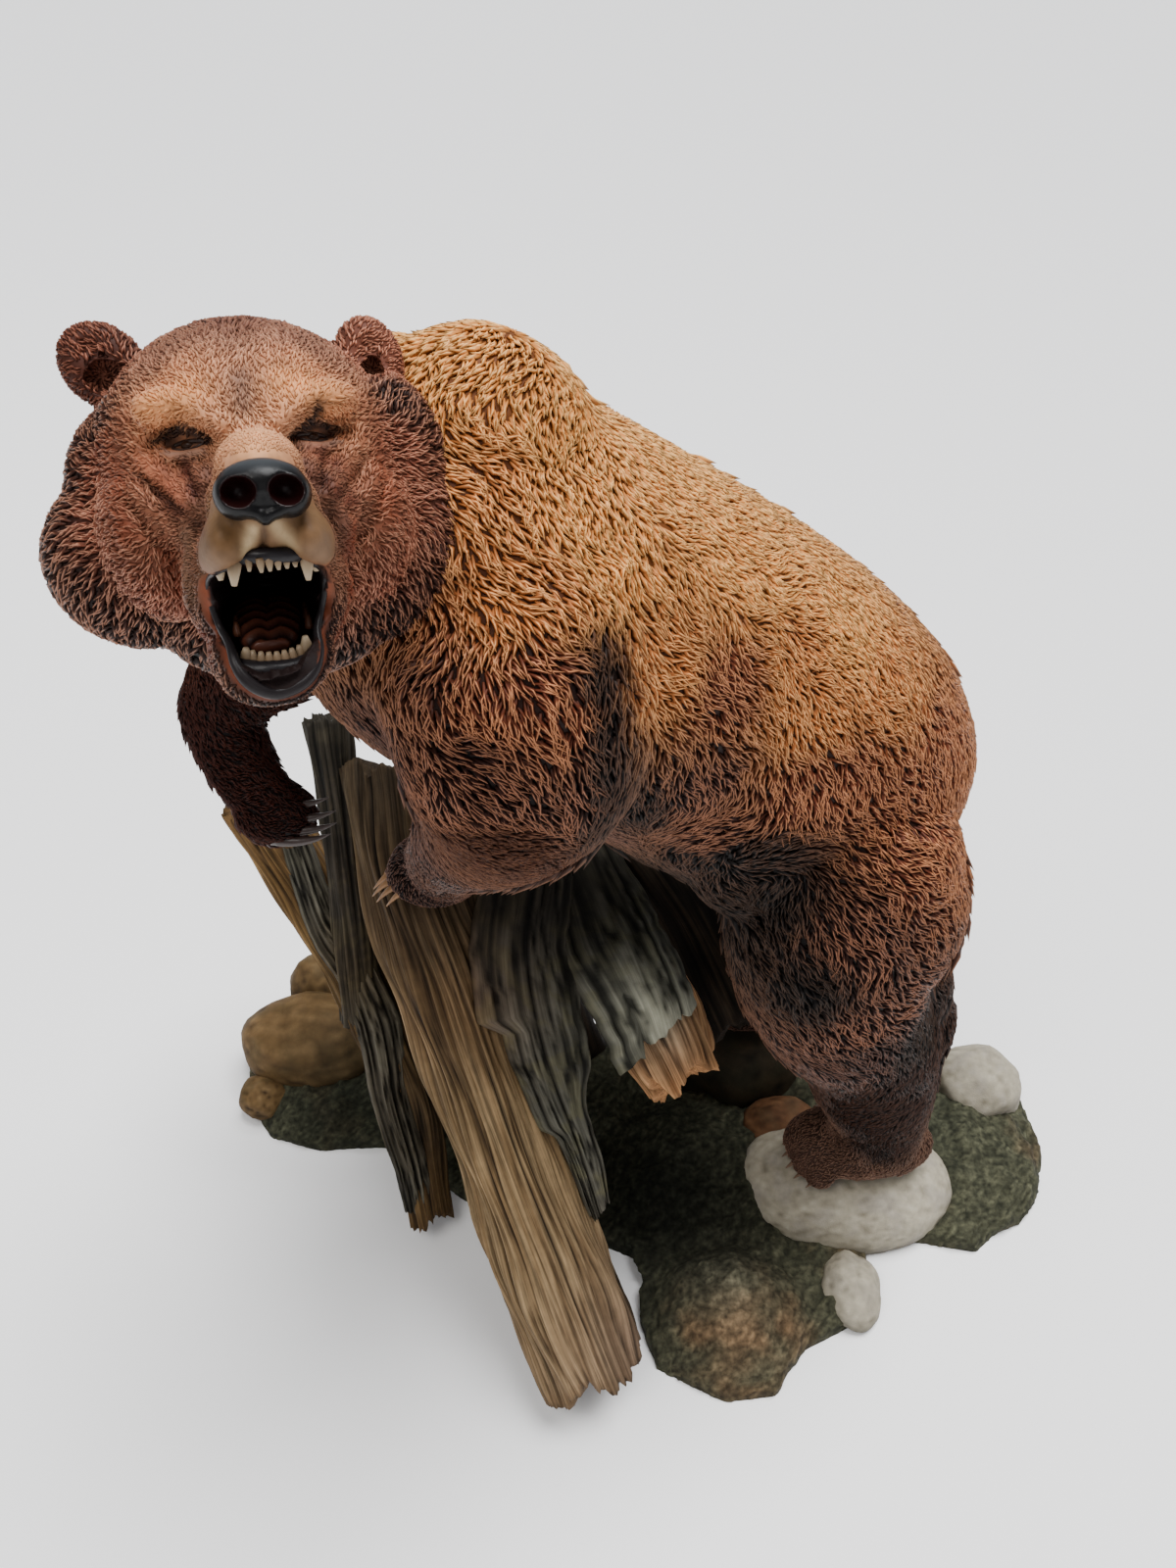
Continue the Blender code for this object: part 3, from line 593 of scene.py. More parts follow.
# %% Nose
NOSE_VOXEL = 0.3
NOSE_LAST_VOXEL = 0.26
NOSE_TRIANGLES = 9000
NOSTRILS = (
    ((-2.45, -49.0, 4.0), (2.4, 4.2, 2.15), -10),
    ((3.85, -49.0, 3.8), (2.4, 4.2, 2.15), 10),
)
nose = fused("nose", [
    ball("pad", (0.7, -44.2, 4.6), (6.1, 4.2, 3.7)),
    ball("left_wing", (-2.5, -44.8, 3.6), (3.3, 3.9, 3.4)),
    ball("right_wing", (4.0, -44.8, 3.4), (3.3, 3.9, 3.4)),
    ball("left_edge", (-1.8, -45.0, 1.7), (3.4, 3.1, 1.2), lean(24)),
    ball("right_edge", (3.3, -45.0, 1.5), (3.4, 3.1, 1.2), lean(-22)),
    ball("foot", (0.65, -45.2, 0.7), (1.2, 2.7, 1.4)),
], NOSE_VOXEL, 2)
for centre, radii, tilt in NOSTRILS:
    cut_out(nose, ball("nostril", centre, radii, lean(tilt)))
nose = fused("nose", [nose], NOSE_LAST_VOXEL, 2)
stroke(nose, [([(0.7, 3.2), (0.65, 0.2)], 0.4, -0.35)])
thinned(nose, NOSE_TRIANGLES)
print("nose:", triangles_of(nose), "triangles")


# %% Tubes with a changing radius, for lids, lips, claws and gums
def tube(name, centres, radii, sides=12, closed=False, flat=1.0, side=None):
    """A round skin along a line of points, in millimetres. Flat squeezes it across its side."""
    centres = np.asarray(centres, float)
    radii = np.broadcast_to(radii, len(centres)).astype(float)
    if closed:
        along = unit(np.roll(centres, -1, axis=0) - np.roll(centres, 1, axis=0))
    else:
        along = unit(np.gradient(centres, axis=0))
    guide = np.cross(along[0], (0.31, 0.52, 0.79)) if side is None else np.array(side, float)
    angles = 2 * math.pi * np.arange(sides) / sides
    rings = []
    for centre, way, radius in zip(centres, along, radii):
        guide = unit(guide - np.dot(guide, way) * way)
        other = np.cross(way, guide)
        ring = np.cos(angles)[:, None] * guide + flat * np.sin(angles)[:, None] * other
        rings.append(centre + radius * ring)
    count = len(rings)
    pairs = [(i, (i + 1) % count) for i in range(count if closed else count - 1)]
    faces = np.vstack([ring_faces(a, b, sides) for a, b in pairs])
    return closed_up(mesh_piece(name, np.vstack(rings) * MM, faces), fill=not closed)


# %% Eyes and lids
face_tree = skin_tree(head)
# Where the eyes are from the front, and which way each of them leans.
EYE_PLACES = ((-8.6, 12.0, -1), (9.9, 11.9, 1))
EYE_RADII = (1.5, 1.5, 1.0)
LID_POINTS = 28
eyes, lids = [], []
for x, z, side in EYE_PLACES:
    depth = on_face(face_tree, x, z)[1]
    eyes.append(ball("eye", (x - 0.3 * side, depth + 0.9, z - 0.1), EYE_RADII, detail=4))
    turn = np.linspace(0, 2 * math.pi, LID_POINTS, endpoint=False)
    rim_x = x + 2.3 * np.cos(turn)
    rim_z = z - 0.05 + 0.55 * np.sin(turn) - side * 0.1 * (rim_x - x)
    rim = [(a, on_face(face_tree, a, b)[1] - 0.1 + 0.1 * (1 + math.sin(t)), b)
           for a, b, t in zip(rim_x, rim_z, turn)]
    lids.append(tube("lid", rim, 0.3 + 0.12 * np.sin(turn), sides=10, closed=True))
eyes = joined("eyes", eyes)
lids = joined("eyelids", lids)
print("eyes and lids:", [triangles_of(o) for o in (eyes, lids)], "triangles")

# %% Lips
MOUTH_MIDDLE = np.array((-0.4, -13.5))
LIP_RADIUS = 0.42
LOWER_LIP_SWELL = 0.6
UPPER_LIP_SINK = 3.0
LIP_LINE = (
    (0.2, -4.6), (-3.6, -5.4), (-8.0, -7.2), (-8.7, -10.7), (-8.1, -14.4), (-6.9, -17.4),
    (-6.3, -20.4), (-4.6, -23.2), (-1.4, -24.9), (2.2, -24.2), (4.5, -22.4), (5.8, -19.6),
    (6.0, -16.6), (7.2, -13.6), (8.0, -10.4), (7.5, -7.4), (4.4, -5.6),
)
lip_path = []
for x, z in through(LIP_LINE + LIP_LINE[:1], 5)[:-1]:
    out = np.array((x, z)) - MOUTH_MIDDLE
    edge = on_face(face_tree, *(out * (1 + 0.9 / np.linalg.norm(out)) + MOUTH_MIDDLE))
    lip_path.append((x, edge[1], z))
lip_path = np.array(lip_path)
under = np.clip((lip_path[:, 2] + 7.6) / 1.6, 0, 1)
lip_path[:, 1] += UPPER_LIP_SINK * under
for _ in range(4):
    lip_path[:, 1] = (np.roll(lip_path[:, 1], 1) + lip_path[:, 1] + np.roll(lip_path[:, 1], -1)) / 3
low = np.clip((-lip_path[:, 2] - 6) / 16, 0, 1)
lips = tube("lips", lip_path, LIP_RADIUS + LOWER_LIP_SWELL * low**2.5, sides=14, closed=True)
print("lips run from", np.round(lip_path[:, 1].min(), 1), "to", np.round(lip_path[:, 1].max(), 1))


def inside_lips(points):
    """Seen from the front, which points lie within the ring of the lips."""
    ring = lip_path[:, [0, 2]] - MOUTH_MIDDLE
    spots = points[:, [0, 2]] - MOUTH_MIDDLE
    turns = np.arctan2(ring[:, 1], ring[:, 0])
    order = np.argsort(turns)
    bearing = np.arctan2(spots[:, 1], spots[:, 0])
    reach = np.interp(bearing, turns[order], np.hypot(*ring[order].T), period=2 * math.pi)
    return (np.hypot(*spots.T) < reach) & (points[:, 1] < -18) & (points[:, 2] < -6)


# %% One tooth, and its copies
bpy.ops.mesh.primitive_cone_add(vertices=10, radius1=1, radius2=0.36, depth=1, location=(0, 0, 0.5))
master_tooth = settled(bpy.context.object)
bpy.ops.object.mode_set(mode="EDIT")
bpy.ops.mesh.select_all(action="SELECT")
bpy.ops.mesh.subdivide(number_cuts=3)
bpy.ops.object.mode_set(mode="OBJECT")
tooth_shape = points_of(master_tooth)
swell = 1 + 0.25 * np.sin(math.pi * np.clip(tooth_shape[:, 2], 0, 1))
tooth_shape[:, :2] *= swell[:, None]


def tooth(root, tip, half_width, half_depth=None, bend=0.0):
    """A copy of the tooth from its root to its tip, bent forwards by some share of its length."""
    root, tip = np.array(root, float), np.array(tip, float)
    length = np.linalg.norm(tip - root)
    down = (tip - root) / length
    side = unit(np.cross(down, (0, 1, 0)))
    front = np.cross(side, down)
    depth = half_depth or half_width
    t = tooth_shape[:, 2]
    grown = root + np.outer(tooth_shape[:, 0] * half_width, side)
    grown += np.outer(tooth_shape[:, 1] * depth + bend * length * 4 * t * (t - 1), front)
    grown += np.outer(t * length, down)
    made = master_tooth.copy()
    made.data = master_tooth.data.copy()
    bpy.context.scene.collection.objects.link(made)
    return set_points(made, grown * MM)


dentition = [
    tooth((-4.3, -40.2, -4.6), (-4.8, -41.4, -8.4), 1.1, bend=0.06),
    tooth((5.5, -40.2, -4.7), (5.3, -41.4, -8.6), 1.05, bend=0.06),
    tooth((-2.3, -41.4, -4.2), (-2.5, -42.2, -6.6), 0.62, 0.5),
    tooth((-4.9, -31.4, -20.6), (-4.7, -32.8, -18.0), 1.15, 0.9),
    tooth((4.1, -31.4, -20.4), (4.0, -32.8, -17.2), 1.15, 0.9),
]
for k in range(5):
    x = -0.9 + 1.18 * k
    arch = 0.12 * k * k
    dentition.append(tooth((x, -42.6 + arch, -5.0), (x, -43.0 + arch, -6.9 + 0.06 * k), 0.6, 0.45))
for k in range(7):
    x = -3.8 + 1.12 * k
    arch = 0.16 * (k - 3.0) ** 2
    dentition.append(tooth((x, -33.4 + arch, -21.4), (x, -33.9 + arch, -18.9 + 0.3 * arch), 0.9, 0.7))
for x in (-6.6, 6.9):
    for k in range(3):
        dentition.append(tooth((x, -35.0 + 4.2 * k, -4.8), (x, -35.0 + 4.2 * k, -7.8), 1.0, 1.7))
        place = np.array((x * 0.8 - 0.4, -26.5 + 4.6 * k, -16.8 + 0.6 * k))
        dentition.append(tooth(place, place + (0, 0, 2.2), 0.75, 1.3))
teeth = joined("teeth", dentition)
bpy.data.objects.remove(master_tooth)
print("teeth:", len(dentition))

# %% Gums, tongue and palate
def tongue_ribs(points):
    """The wave of the ribs across the tongue, from -1 to 1."""
    return np.sin(points[:, 1] * 2.4 + 0.5 * np.abs(points[:, 0] + 0.9))


upper_gum = through([(-6.4, -28, -5.0), (-5.2, -38.2, -4.8), (-2.5, -41.0, -4.6), (0.6, -42.0, -4.7),
                     (3.6, -41.2, -4.9), (5.9, -38.4, -4.9), (7.0, -28, -5.0)], 6)
lower_gum = through([(-7.0, -20, -19.4), (-6.2, -30.6, -20.6), (-4.0, -33.0, -21.4), (-0.9, -33.8, -21.6),
                     (2.2, -33.0, -21.6), (4.2, -30.6, -21.0), (5.2, -20, -19.8)], 6)
gums = joined("gums", [tube("upper", upper_gum, 1.1), tube("lower", lower_gum, 1.5)])

tongue_rows = through([(-0.6, -8, -13, 4.6), (-0.8, -16, -13.6, 5.2), (-1.0, -23, -15.6, 5.0),
                       (-1.1, -28, -17.6, 4.3), (-1.1, -31, -18.6, 2.6)], 10)
tongue = tube("tongue", tongue_rows[:, :3], tongue_rows[:, 3], sides=32, flat=0.42, side=(1, 0, 0))
shaped = points_of(tongue) / MM
top = np.clip((shaped[:, 2] - np.interp(shaped[:, 1], tongue_rows[:, 1], tongue_rows[:, 2])) / 1.2, 0, 1)
groove = np.exp(-(((shaped[:, 0] + 0.9) / 1.0) ** 2))
shaped[:, 2] += top * (0.28 * tongue_ribs(shaped) - 1.1 * groove)
set_points(tongue, shaped * MM)

palate_rows = through([(0.2, -37, -4.6, 3.0), (0.1, -32, -4.9, 5.0),
                       (0, -24, -5.6, 5.8), (-0.2, -14, -7, 5.4)], 14)
palate = tube("palate", palate_rows[:, :3], palate_rows[:, 3], sides=28, flat=0.22, side=(1, 0, 0))
shaped = points_of(palate) / MM
shaped[:, 2] += 0.3 * np.sin(shaped[:, 1] * 2.1 + 0.8 * np.abs(shaped[:, 0]))
set_points(palate, shaped * MM)
print("mouth pieces:", [triangles_of(o) for o in (gums, tongue, palate)])

# %% [markdown]
# ## Setting the head on the neck
# The real head is cast in one with the neck. All its pieces leave their own frame here by the
# same matrix, so none of them can slip against the others.


# %% The head goes onto the neck
def from_head(points):
    """Points in the head's millimetres, in the frame's metres."""
    return (HEAD_CENTRE + np.asarray(points) @ HEAD_AXES.T) * MM


def into_head(points):
    """Points in the frame's metres, in the head's millimetres."""
    return (np.asarray(points) / MM - HEAD_CENTRE) @ HEAD_AXES


for piece in (head, nose, eyes, lids, lips, teeth, gums, tongue, palate):
    smoothed(set_points(piece, from_head(points_of(piece) / MM)))
print("the lowest point of the head, in mm:", round(points_of(head)[:, 2].min() / MM, 1))

# %% [markdown]
# ## Claws
# A claw is a horn that tapers and hooks. The raised paw shows four of them, and each other foot
# has five. The fore paws have the long ones of a digging bear, and the hind feet have short blunt
# ones.


# %% Claws
def claw_row(centre, ahead, across, drop, spread, length, radius, count=5):
    """Claws side by side. The outer ones start further back than the middle one."""
    ahead, across, drop = unit(ahead), unit(across), np.array(drop, float)
    t = np.linspace(0, 1, 9)[:, None]
    made = []
    for k in np.arange(count) - (count - 1) / 2:
        root = np.array(centre) + across * spread * k - ahead * (0.8 * k * k + 2.0)
        path = root + ahead * (length + 2) * t * (1 - 0.12 * t) + drop * length * 0.5 * t**2
        thick = radius * np.clip(1 - t[:, 0] ** 1.6, 0.06, 1) ** 0.8
        made.append(tube("claw", path, thick, sides=10, flat=0.8, side=across))
    return made


hind_claws = joined("hind_claws", [
    *claw_row((72, -12, 27), (-1, -0.35, 0), (0.35, -1, 0), (0, 0, -1), 4.4, 5, 1.25),
    *claw_row((40, 40, 40), (-1, -0.2, 0), (0.2, -1, 0), (0, 0, -1), 4.2, 8, 1.3),
])
fore_claws = joined("fore_claws", claw_row(
    (-55, 8, 145), (-1, -0.25, -0.2), (0.3, -1, 0.3), (0, 0, -1), 4.1, 10, 1.7))
raised_claws = joined("raised_claws", claw_row(
    (-75, -18, 188.5), (1, -0.15, -0.12), (0.1, -0.75, -0.65), (0.1, 0, 0.75), 3.0, 15, 1.55, 4))
print("claws:", [triangles_of(o) for o in (hind_claws, fore_claws, raised_claws)])

# %% [markdown]
# ## The paints of the coat
# The coat is painted in three layers, so a paint here is three colours: the wash in the hollows,
# the colour of a lock's side and the dry brush on its tip. The numbers are those of a paint
# chart, from 0 to 255. A table names the paint at places all over the bear, with the length and
# the width of the locks there, and every point in between takes a mean of what is near it.


# %% Mixing and laying paint
def chart(*rgb):
    """A colour of the paint chart as the shader wants it."""
    share = np.array(rgb, float) / 255
    return np.where(share <= 0.04045, share / 12.92, ((share + 0.055) / 1.055) ** 2.4)


def charted(table):
    """A table of paints with the layers of each as rows of shader colours."""
    return {name: np.array([chart(*c) for c in layers]) for name, layers in table.items()}


def towards(colours, others, share):
    """The colours moved towards the others by that share."""
    return colours + (others - colours) * share


def brushed(obj, colours, layer="paint"):
    """Lays a colour on every vertex, or one on the whole piece."""
    count = len(obj.data.vertices)
    full = np.ones((count, 4), np.float32)
    full[:, :3] = np.broadcast_to(colours, (count, 3))
    coat = obj.data.attributes.new(layer, "FLOAT_COLOR", "POINT")
    coat.data.foreach_set("color", full.ravel())
    return obj


# %% The paints of the coat, and where they go
COAT = charted({
    "gold": ((86, 44, 18), (188, 122, 62), (252, 196, 124)),
    "amber": ((52, 24, 11), (156, 92, 46), (246, 180, 116)),
    "rust": ((20, 8, 5), (84, 40, 24), (210, 142, 98)),
    "brown": ((9, 4, 3), (42, 20, 14), (166, 112, 84)),
    "plum": ((6, 3, 3), (26, 14, 12), (116, 82, 68)),
    "shank": ((5, 3, 2), (20, 11, 8), (74, 48, 37)),
    # The paint "shade" is painted shade. It is laid under the belly and behind the hind knees, on both
    # sides.
    "shade": ((3, 2, 2), (10, 7, 6), (66, 50, 40)),
    "foot": ((26, 17, 13), (88, 62, 50), (150, 118, 98)),
    "black": ((3, 2, 2), (12, 8, 7), (92, 68, 56)),
    "maroon": ((8, 3, 3), (34, 14, 10), (72, 35, 25)),
    "brisket": ((17, 8, 5), (58, 31, 20), (104, 68, 48)),
    "crown": ((38, 21, 17), (100, 62, 50), (166, 120, 98)),
    "forehead": ((82, 52, 40), (144, 98, 76), (204, 154, 126)),
    "brow": ((130, 76, 48), (202, 134, 94), (240, 182, 136)),
    "bridge": ((140, 88, 60), (198, 140, 102), (230, 176, 136)),
    "cheek": ((50, 22, 16), (116, 63, 45), (204, 144, 116)),
    "muzzle": ((60, 33, 25), (110, 68, 50), (168, 120, 94)),
    "flews": ((58, 42, 28), (98, 74, 50), (142, 114, 84)),
    "ruff": ((8, 4, 3), (38, 19, 13), (166, 116, 92)),
    "edge": ((6, 4, 3), (28, 15, 12), (140, 104, 88)),
    # Both ears wear one paint. The left ear's copy is darker as painted shade, and the right ear's is
    # paler as painted light on its top.
    "left ear in painted shade": ((52, 25, 18), (98, 54, 40), (156, 102, 82)),
    "right ear in painted light": ((84, 44, 32), (150, 92, 70), (208, 148, 122)),
})

# Places in mm, the paint there, and the length and width of the locks.
BODY_COAT = (
    (-24, -22, 304, "gold", 4.2, 1.0), (-8, -26, 297, "gold", 4.4, 1.0),
    (8, -12, 285, "gold", 4.2, 0.95), (16, -12, 279, "gold", 4.2, 0.95),
    (0, -39, 284, "gold", 4.8, 1.05), (-18, -41, 294, "amber", 5.0, 1.1),
    (3, -42, 278, "gold", 5.0, 1.1), (-8, -51, 276, "amber", 5.4, 1.15),
    (41, -16, 256, "gold", 4.2, 0.95), (28, -21, 266, "gold", 4.4, 1.0),
    (56, -13, 242, "gold", 4.2, 0.95), (67, -16, 229, "amber", 4.6, 1.0),
    (45, -26, 246, "amber", 4.8, 1.0), (14, -48, 255, "amber", 5.8, 1.15),
    (2, -57, 262, "black", 6.0, 1.15), (3, -61, 251, "black", 6.0, 1.15),
    (6, -60, 229, "black", 6.2, 1.2), (4, -60, 240, "black", 6.2, 1.2),
    (13, -45, 217, "black", 6.0, 1.2), (22, -40, 222, "brown", 6.0, 1.2),
    (27, -41, 247, "rust", 5.6, 1.15), (49, -29, 234, "amber", 5.2, 1.1),
    (27, -33, 188, "black", 6.2, 1.25), (40, -34, 191, "black", 6.0, 1.25),
    (32, -39, 204, "brown", 6.0, 1.2), (37, -23, 168, "shade", 5.8, 1.2),
    (49, -35, 215, "rust", 5.8, 1.2), (62, -30, 215, "rust", 5.6, 1.15),
    (76, -22, 204, "rust", 5.6, 1.2), (88, -9, 206, "rust", 5.2, 1.15),
    (84, -29, 184, "rust", 6.2, 1.25), (69, -37, 171, "brown", 6.4, 1.3),
    (44, -29, 177, "shade", 5.8, 1.2), (56, -40, 151, "shade", 6.2, 1.3),
    (85, -37, 139, "brown", 6.0, 1.25), (72, -42, 138, "brown", 6.0, 1.3),
    (74, -38, 115, "plum", 5.2, 1.2), (100, -29, 98, "shank", 4.6, 1.1),
    (88, -31, 82, "shank", 4.0, 1.0), (104, -24, 84, "shank", 3.8, 1.0),
    (90, -32, 66, "shank", 3.0, 0.85), (92, -38, 104, "shank", 4.6, 1.1),
    (80, -36, 92, "shank", 4.2, 1.0), (104, -30, 112, "shank", 5.0, 1.15),
    (95, -25, 50, "shank", 2.8, 0.8), (79, -12, 39, "foot", 1.8, 0.6),
    (72, -12, 27, "foot", 1.0, 0.4), (90, -18, 34, "foot", 1.8, 0.7),
    (60, 45, 50, "plum", 2.0, 0.7), (-25, -59, 273, "rust", 5.6, 1.15),
    (-31, -62, 265, "brown", 5.6, 1.15), (-16, -54, 274, "amber", 5.6, 1.15),
    (-10, -61, 263, "rust", 5.6, 1.15), (-4, -64, 255, "rust", 5.8, 1.15),
    (-19, -65, 259, "rust", 5.6, 1.15), (-22, -67, 249, "brown", 5.6, 1.15),
    (-30, -66, 239, "brown", 5.2, 1.1), (-42, -52, 241, "plum", 4.6, 1.05),
    (-17, -68, 240, "brown", 5.4, 1.15), (-17, -68, 226, "brisket", 2.6, 0.75),
    (-12, -60, 214, "brisket", 2.4, 0.75), (-29, -60, 222, "brisket", 2.8, 0.8),
    (-5, -67, 238, "brown", 5.6, 1.15), (-40, -34, 188, "plum", 3.0, 0.85),
    (-41, -32, 198, "plum", 3.4, 0.9), (-44, 5, 150, "plum", 2.2, 0.75),
    (-83, -11, 222, "maroon", 3.6, 0.8), (-93, -11, 214, "maroon", 3.6, 0.8),
    (-86, -13, 209, "maroon", 3.4, 0.75), (-81, -16, 200, "maroon", 3.2, 0.75),
    (-74, -19, 195, "maroon", 2.2, 0.7), (10, -5, 180, "shade", 5.4, 1.3),
    (24, -14, 180, "shade", 5.4, 1.2), (46, -14, 160, "shade", 5.4, 1.2),
    (89, -32, 122, "shade", 4.8, 1.1), (98, -28, 116, "shade", 4.8, 1.1),
    (78, -39, 124, "plum", 5.2, 1.2), (-20, 10, 205, "plum", 5.4, 1.3),
    (108, 33, 170, "rust", 4.6, 1.2),
)
HEAD_COAT = (
    (0.9, -10, 24, "forehead", 1.9, 0.55), (-9, -8, 24, "forehead", 2.0, 0.6),
    (11, -8, 24, "forehead", 2.0, 0.6), (0.9, -2, 32, "crown", 2.6, 0.75),
    (-12, 4, 31, "crown", 3.0, 0.85), (14, 4, 31, "crown", 3.0, 0.85),
    (-22, 9, 29, "left ear in painted shade", 1.4, 0.45), (23, 9, 28, "right ear in painted light", 1.4, 0.45),
    (-22, 1, 26, "left ear in painted shade", 1.0, 0.42), (23, 0, 25, "right ear in painted light", 1.0, 0.42),
    (-9, -14, 17.5, "brow", 1.5, 0.5), (11, -14, 17.5, "brow", 1.5, 0.5),
    (0.9, -22, 12, "bridge", 1.3, 0.45), (0.9, -34, 9, "bridge", 0.9, 0.4),
    (-7, -26, 7, "muzzle", 1.1, 0.42), (9, -26, 7, "muzzle", 1.1, 0.42),
    (-10.5, -26, 1, "muzzle", 1.2, 0.45), (12.5, -26, 1, "muzzle", 1.2, 0.45),
    (-5, -41, -1, "flews", 0.6, 0.35), (6.5, -41, -1, "flews", 0.6, 0.35),
    (-9, -34, -2, "muzzle", 0.9, 0.4), (10.5, -34, -2, "muzzle", 0.9, 0.4),
    (-20, -7, 9, "cheek", 2.4, 0.62), (21, -7, 9, "cheek", 2.4, 0.62),
    (-20, -6, 1, "cheek", 2.6, 0.65), (21, -6, 1, "cheek", 2.6, 0.65),
    (-25, -2, -8, "ruff", 3.8, 0.9), (26, -2, -8, "ruff", 3.8, 0.9),
    (-20, 0, -22, "edge", 4.4, 1.0), (21, 0, -22, "edge", 4.4, 1.0),
    (-15, -10, -9, "cheek", 2.4, 0.6), (16, -10, -9, "cheek", 2.4, 0.6),
    (-17, -5, -15, "ruff", 3.6, 0.9), (18, -5, -15, "ruff", 3.6, 0.9),
    (-8.5, -26, -19, "ruff", 1.6, 0.5), (7.5, -26, -19, "ruff", 1.6, 0.5),
    (0, -28, -26, "edge", 2.0, 0.6), (-24, -4, 18, "ruff", 3.0, 0.8),
    (25, -4, 17, "ruff", 3.0, 0.8), (-29, 2, 8, "ruff", 4.2, 1.0), (30, 2, 8, "ruff", 4.2, 1.0),
    (-31, 2, -4, "ruff", 4.8, 1.1), (31, 2, -5, "ruff", 4.8, 1.1), (-26, 2, -16, "ruff", 4.8, 1.1),
    (27, 2, -18, "ruff", 4.8, 1.1), (-35, 10, -2, "edge", 5.2, 1.15),
    (35, 10, 0, "edge", 5.2, 1.15), (-28, 12, -18, "edge", 5.2, 1.15),
    (30, 12, -20, "edge", 5.2, 1.15), (-32, 12, 12, "edge", 4.8, 1.1),
    (32, 12, 14, "edge", 4.8, 1.1), (-12, -4, -24, "edge", 4.4, 1.05),
    (13, -4, -25, "edge", 4.4, 1.05), (1, 0, -28, "edge", 4.6, 1.1), (1, 22, 26, "amber", 4.0, 1.0),
    (-20, 22, 20, "rust", 4.6, 1.1), (20, 22, 20, "amber", 4.4, 1.1),
)


def table_of(coat):
    """The table's places, and a row of numbers for each: nine of its paint, then the lock's size."""
    places = np.array([row[:3] for row in coat], float)
    values = np.array([[*COAT[row[3]].ravel(), row[4], row[5]] for row in coat])
    return places, values


BATCH = 4000


def blend(points, places, values, power=4):
    """What the table says at each point, as a mean in which near places count for most."""
    found = np.empty((len(points), values.shape[1]))
    for start in range(0, len(points), BATCH):
        part = points[start:start + BATCH]
        apart = np.linalg.norm(part[:, None] - places[None], axis=2) + 0.5
        weight = apart ** -float(power)
        found[start:start + BATCH] = (weight @ values) / weight.sum(axis=1, keepdims=True)
    return found


BODY_MIDDLE = np.array((20.0, 3.0, 220.0))


def other_side(points, about=BODY_MIDDLE):
    """Places mirrored in the upright plane along the bear's spine."""
    points = np.asarray(points, float)
    return points - 2 * ((points - about) @ ACROSS)[:, None] * ACROSS


body_places, body_values = table_of(BODY_COAT)
body_places = np.vstack([body_places, other_side(body_places)])
body_values = np.vstack([body_values, body_values])
head_places, head_values = table_of(HEAD_COAT)
print("paints:", len(COAT), "places on the body:", len(body_places), "on the head:", len(head_places))

# %% [markdown]
# ## The way the fur lies
# Fur lies along the skin and turns slowly: back over the hump, down the flanks, round a whorl
# before the thigh. Its way was read from the front, so it is written as seen there: how far
# to the right and how far down. On the far side the same directions are mirrored.

# %% Directions of the fur
# Places in mm, then how far to the right and how far down the hair points there.
SEEN_FLOW = (
    (-24, -22, 304, -0.4, 1), (-8, -26, 297, -0.35, 1), (8, -12, 285, 0.6, 0.8),
    (16, -12, 279, 1, 0.35), (0, -39, 284, 0.3, 1), (-18, -41, 294, 0.9, 0.45),
    (3, -42, 278, 0.45, 1), (-8, -51, 276, 0.7, 0.7), (41, -16, 256, 1, -0.1),
    (28, -21, 266, 1, 0.25), (56, -13, 242, 1, 0.35), (67, -16, 229, 1, 0.6),
    (45, -26, 246, 0.9, 0.4), (14, -48, 255, 0.9, 0.45), (2, -57, 262, 0.35, 1),
    (3, -61, 251, 0.3, 1), (6, -60, 229, 0.25, 1), (13, -45, 217, 0.3, 1), (27, -41, 247, 0.7, 0.8),
    (49, -29, 234, 0.6, 0.9), (27, -33, 188, -0.2, 1), (40, -34, 191, 0.3, -0.9),
    (32, -39, 204, -1, 0.2), (37, -23, 168, 1, -0.1), (49, -35, 215, 0.5, 0.9),
    (76, -22, 204, 0.9, 0.55), (88, -9, 206, 0.6, 0.9), (84, -29, 184, 0.9, 0.6),
    (69, -37, 171, 0.5, 0.9), (44, -29, 177, 0, 1), (56, -40, 151, 0.35, 0.95),
    (85, -37, 139, 0.9, 0.5), (72, -42, 138, 0.5, 0.85), (100, -29, 98, 0.5, 0.85),
    (88, -31, 82, -0.6, 0.8), (79, -12, 39, -0.9, 0.5), (-25, -59, 273, -0.25, 1),
    (-31, -62, 265, -0.3, 1), (-16, -54, 274, 0.45, 0.9), (-10, -61, 263, 0.8, 0.6),
    (-4, -64, 255, 0.5, 0.9), (-19, -65, 259, 0.1, 1), (-22, -67, 249, 0.8, 0.5),
    (-30, -66, 239, 0.1, 1), (-42, -52, 241, 0.45, 0.9), (-17, -68, 228, 1, 0.15),
    (-29, -60, 222, 0.8, 0.5), (-5, -67, 238, 0.7, 0.7), (-40, -34, 188, -0.5, 0.7),
    (-41, -32, 198, -0.2, 1), (-83, -11, 222, 0.3, 1), (-93, -11, 214, 0.3, 1),
    (-86, -13, 209, 0.9, 0.4), (-81, -16, 200, 0.9, 0.5), (-74, -19, 195, 1, 0.25),
    (95, -25, 50, -0.1, 1),
)
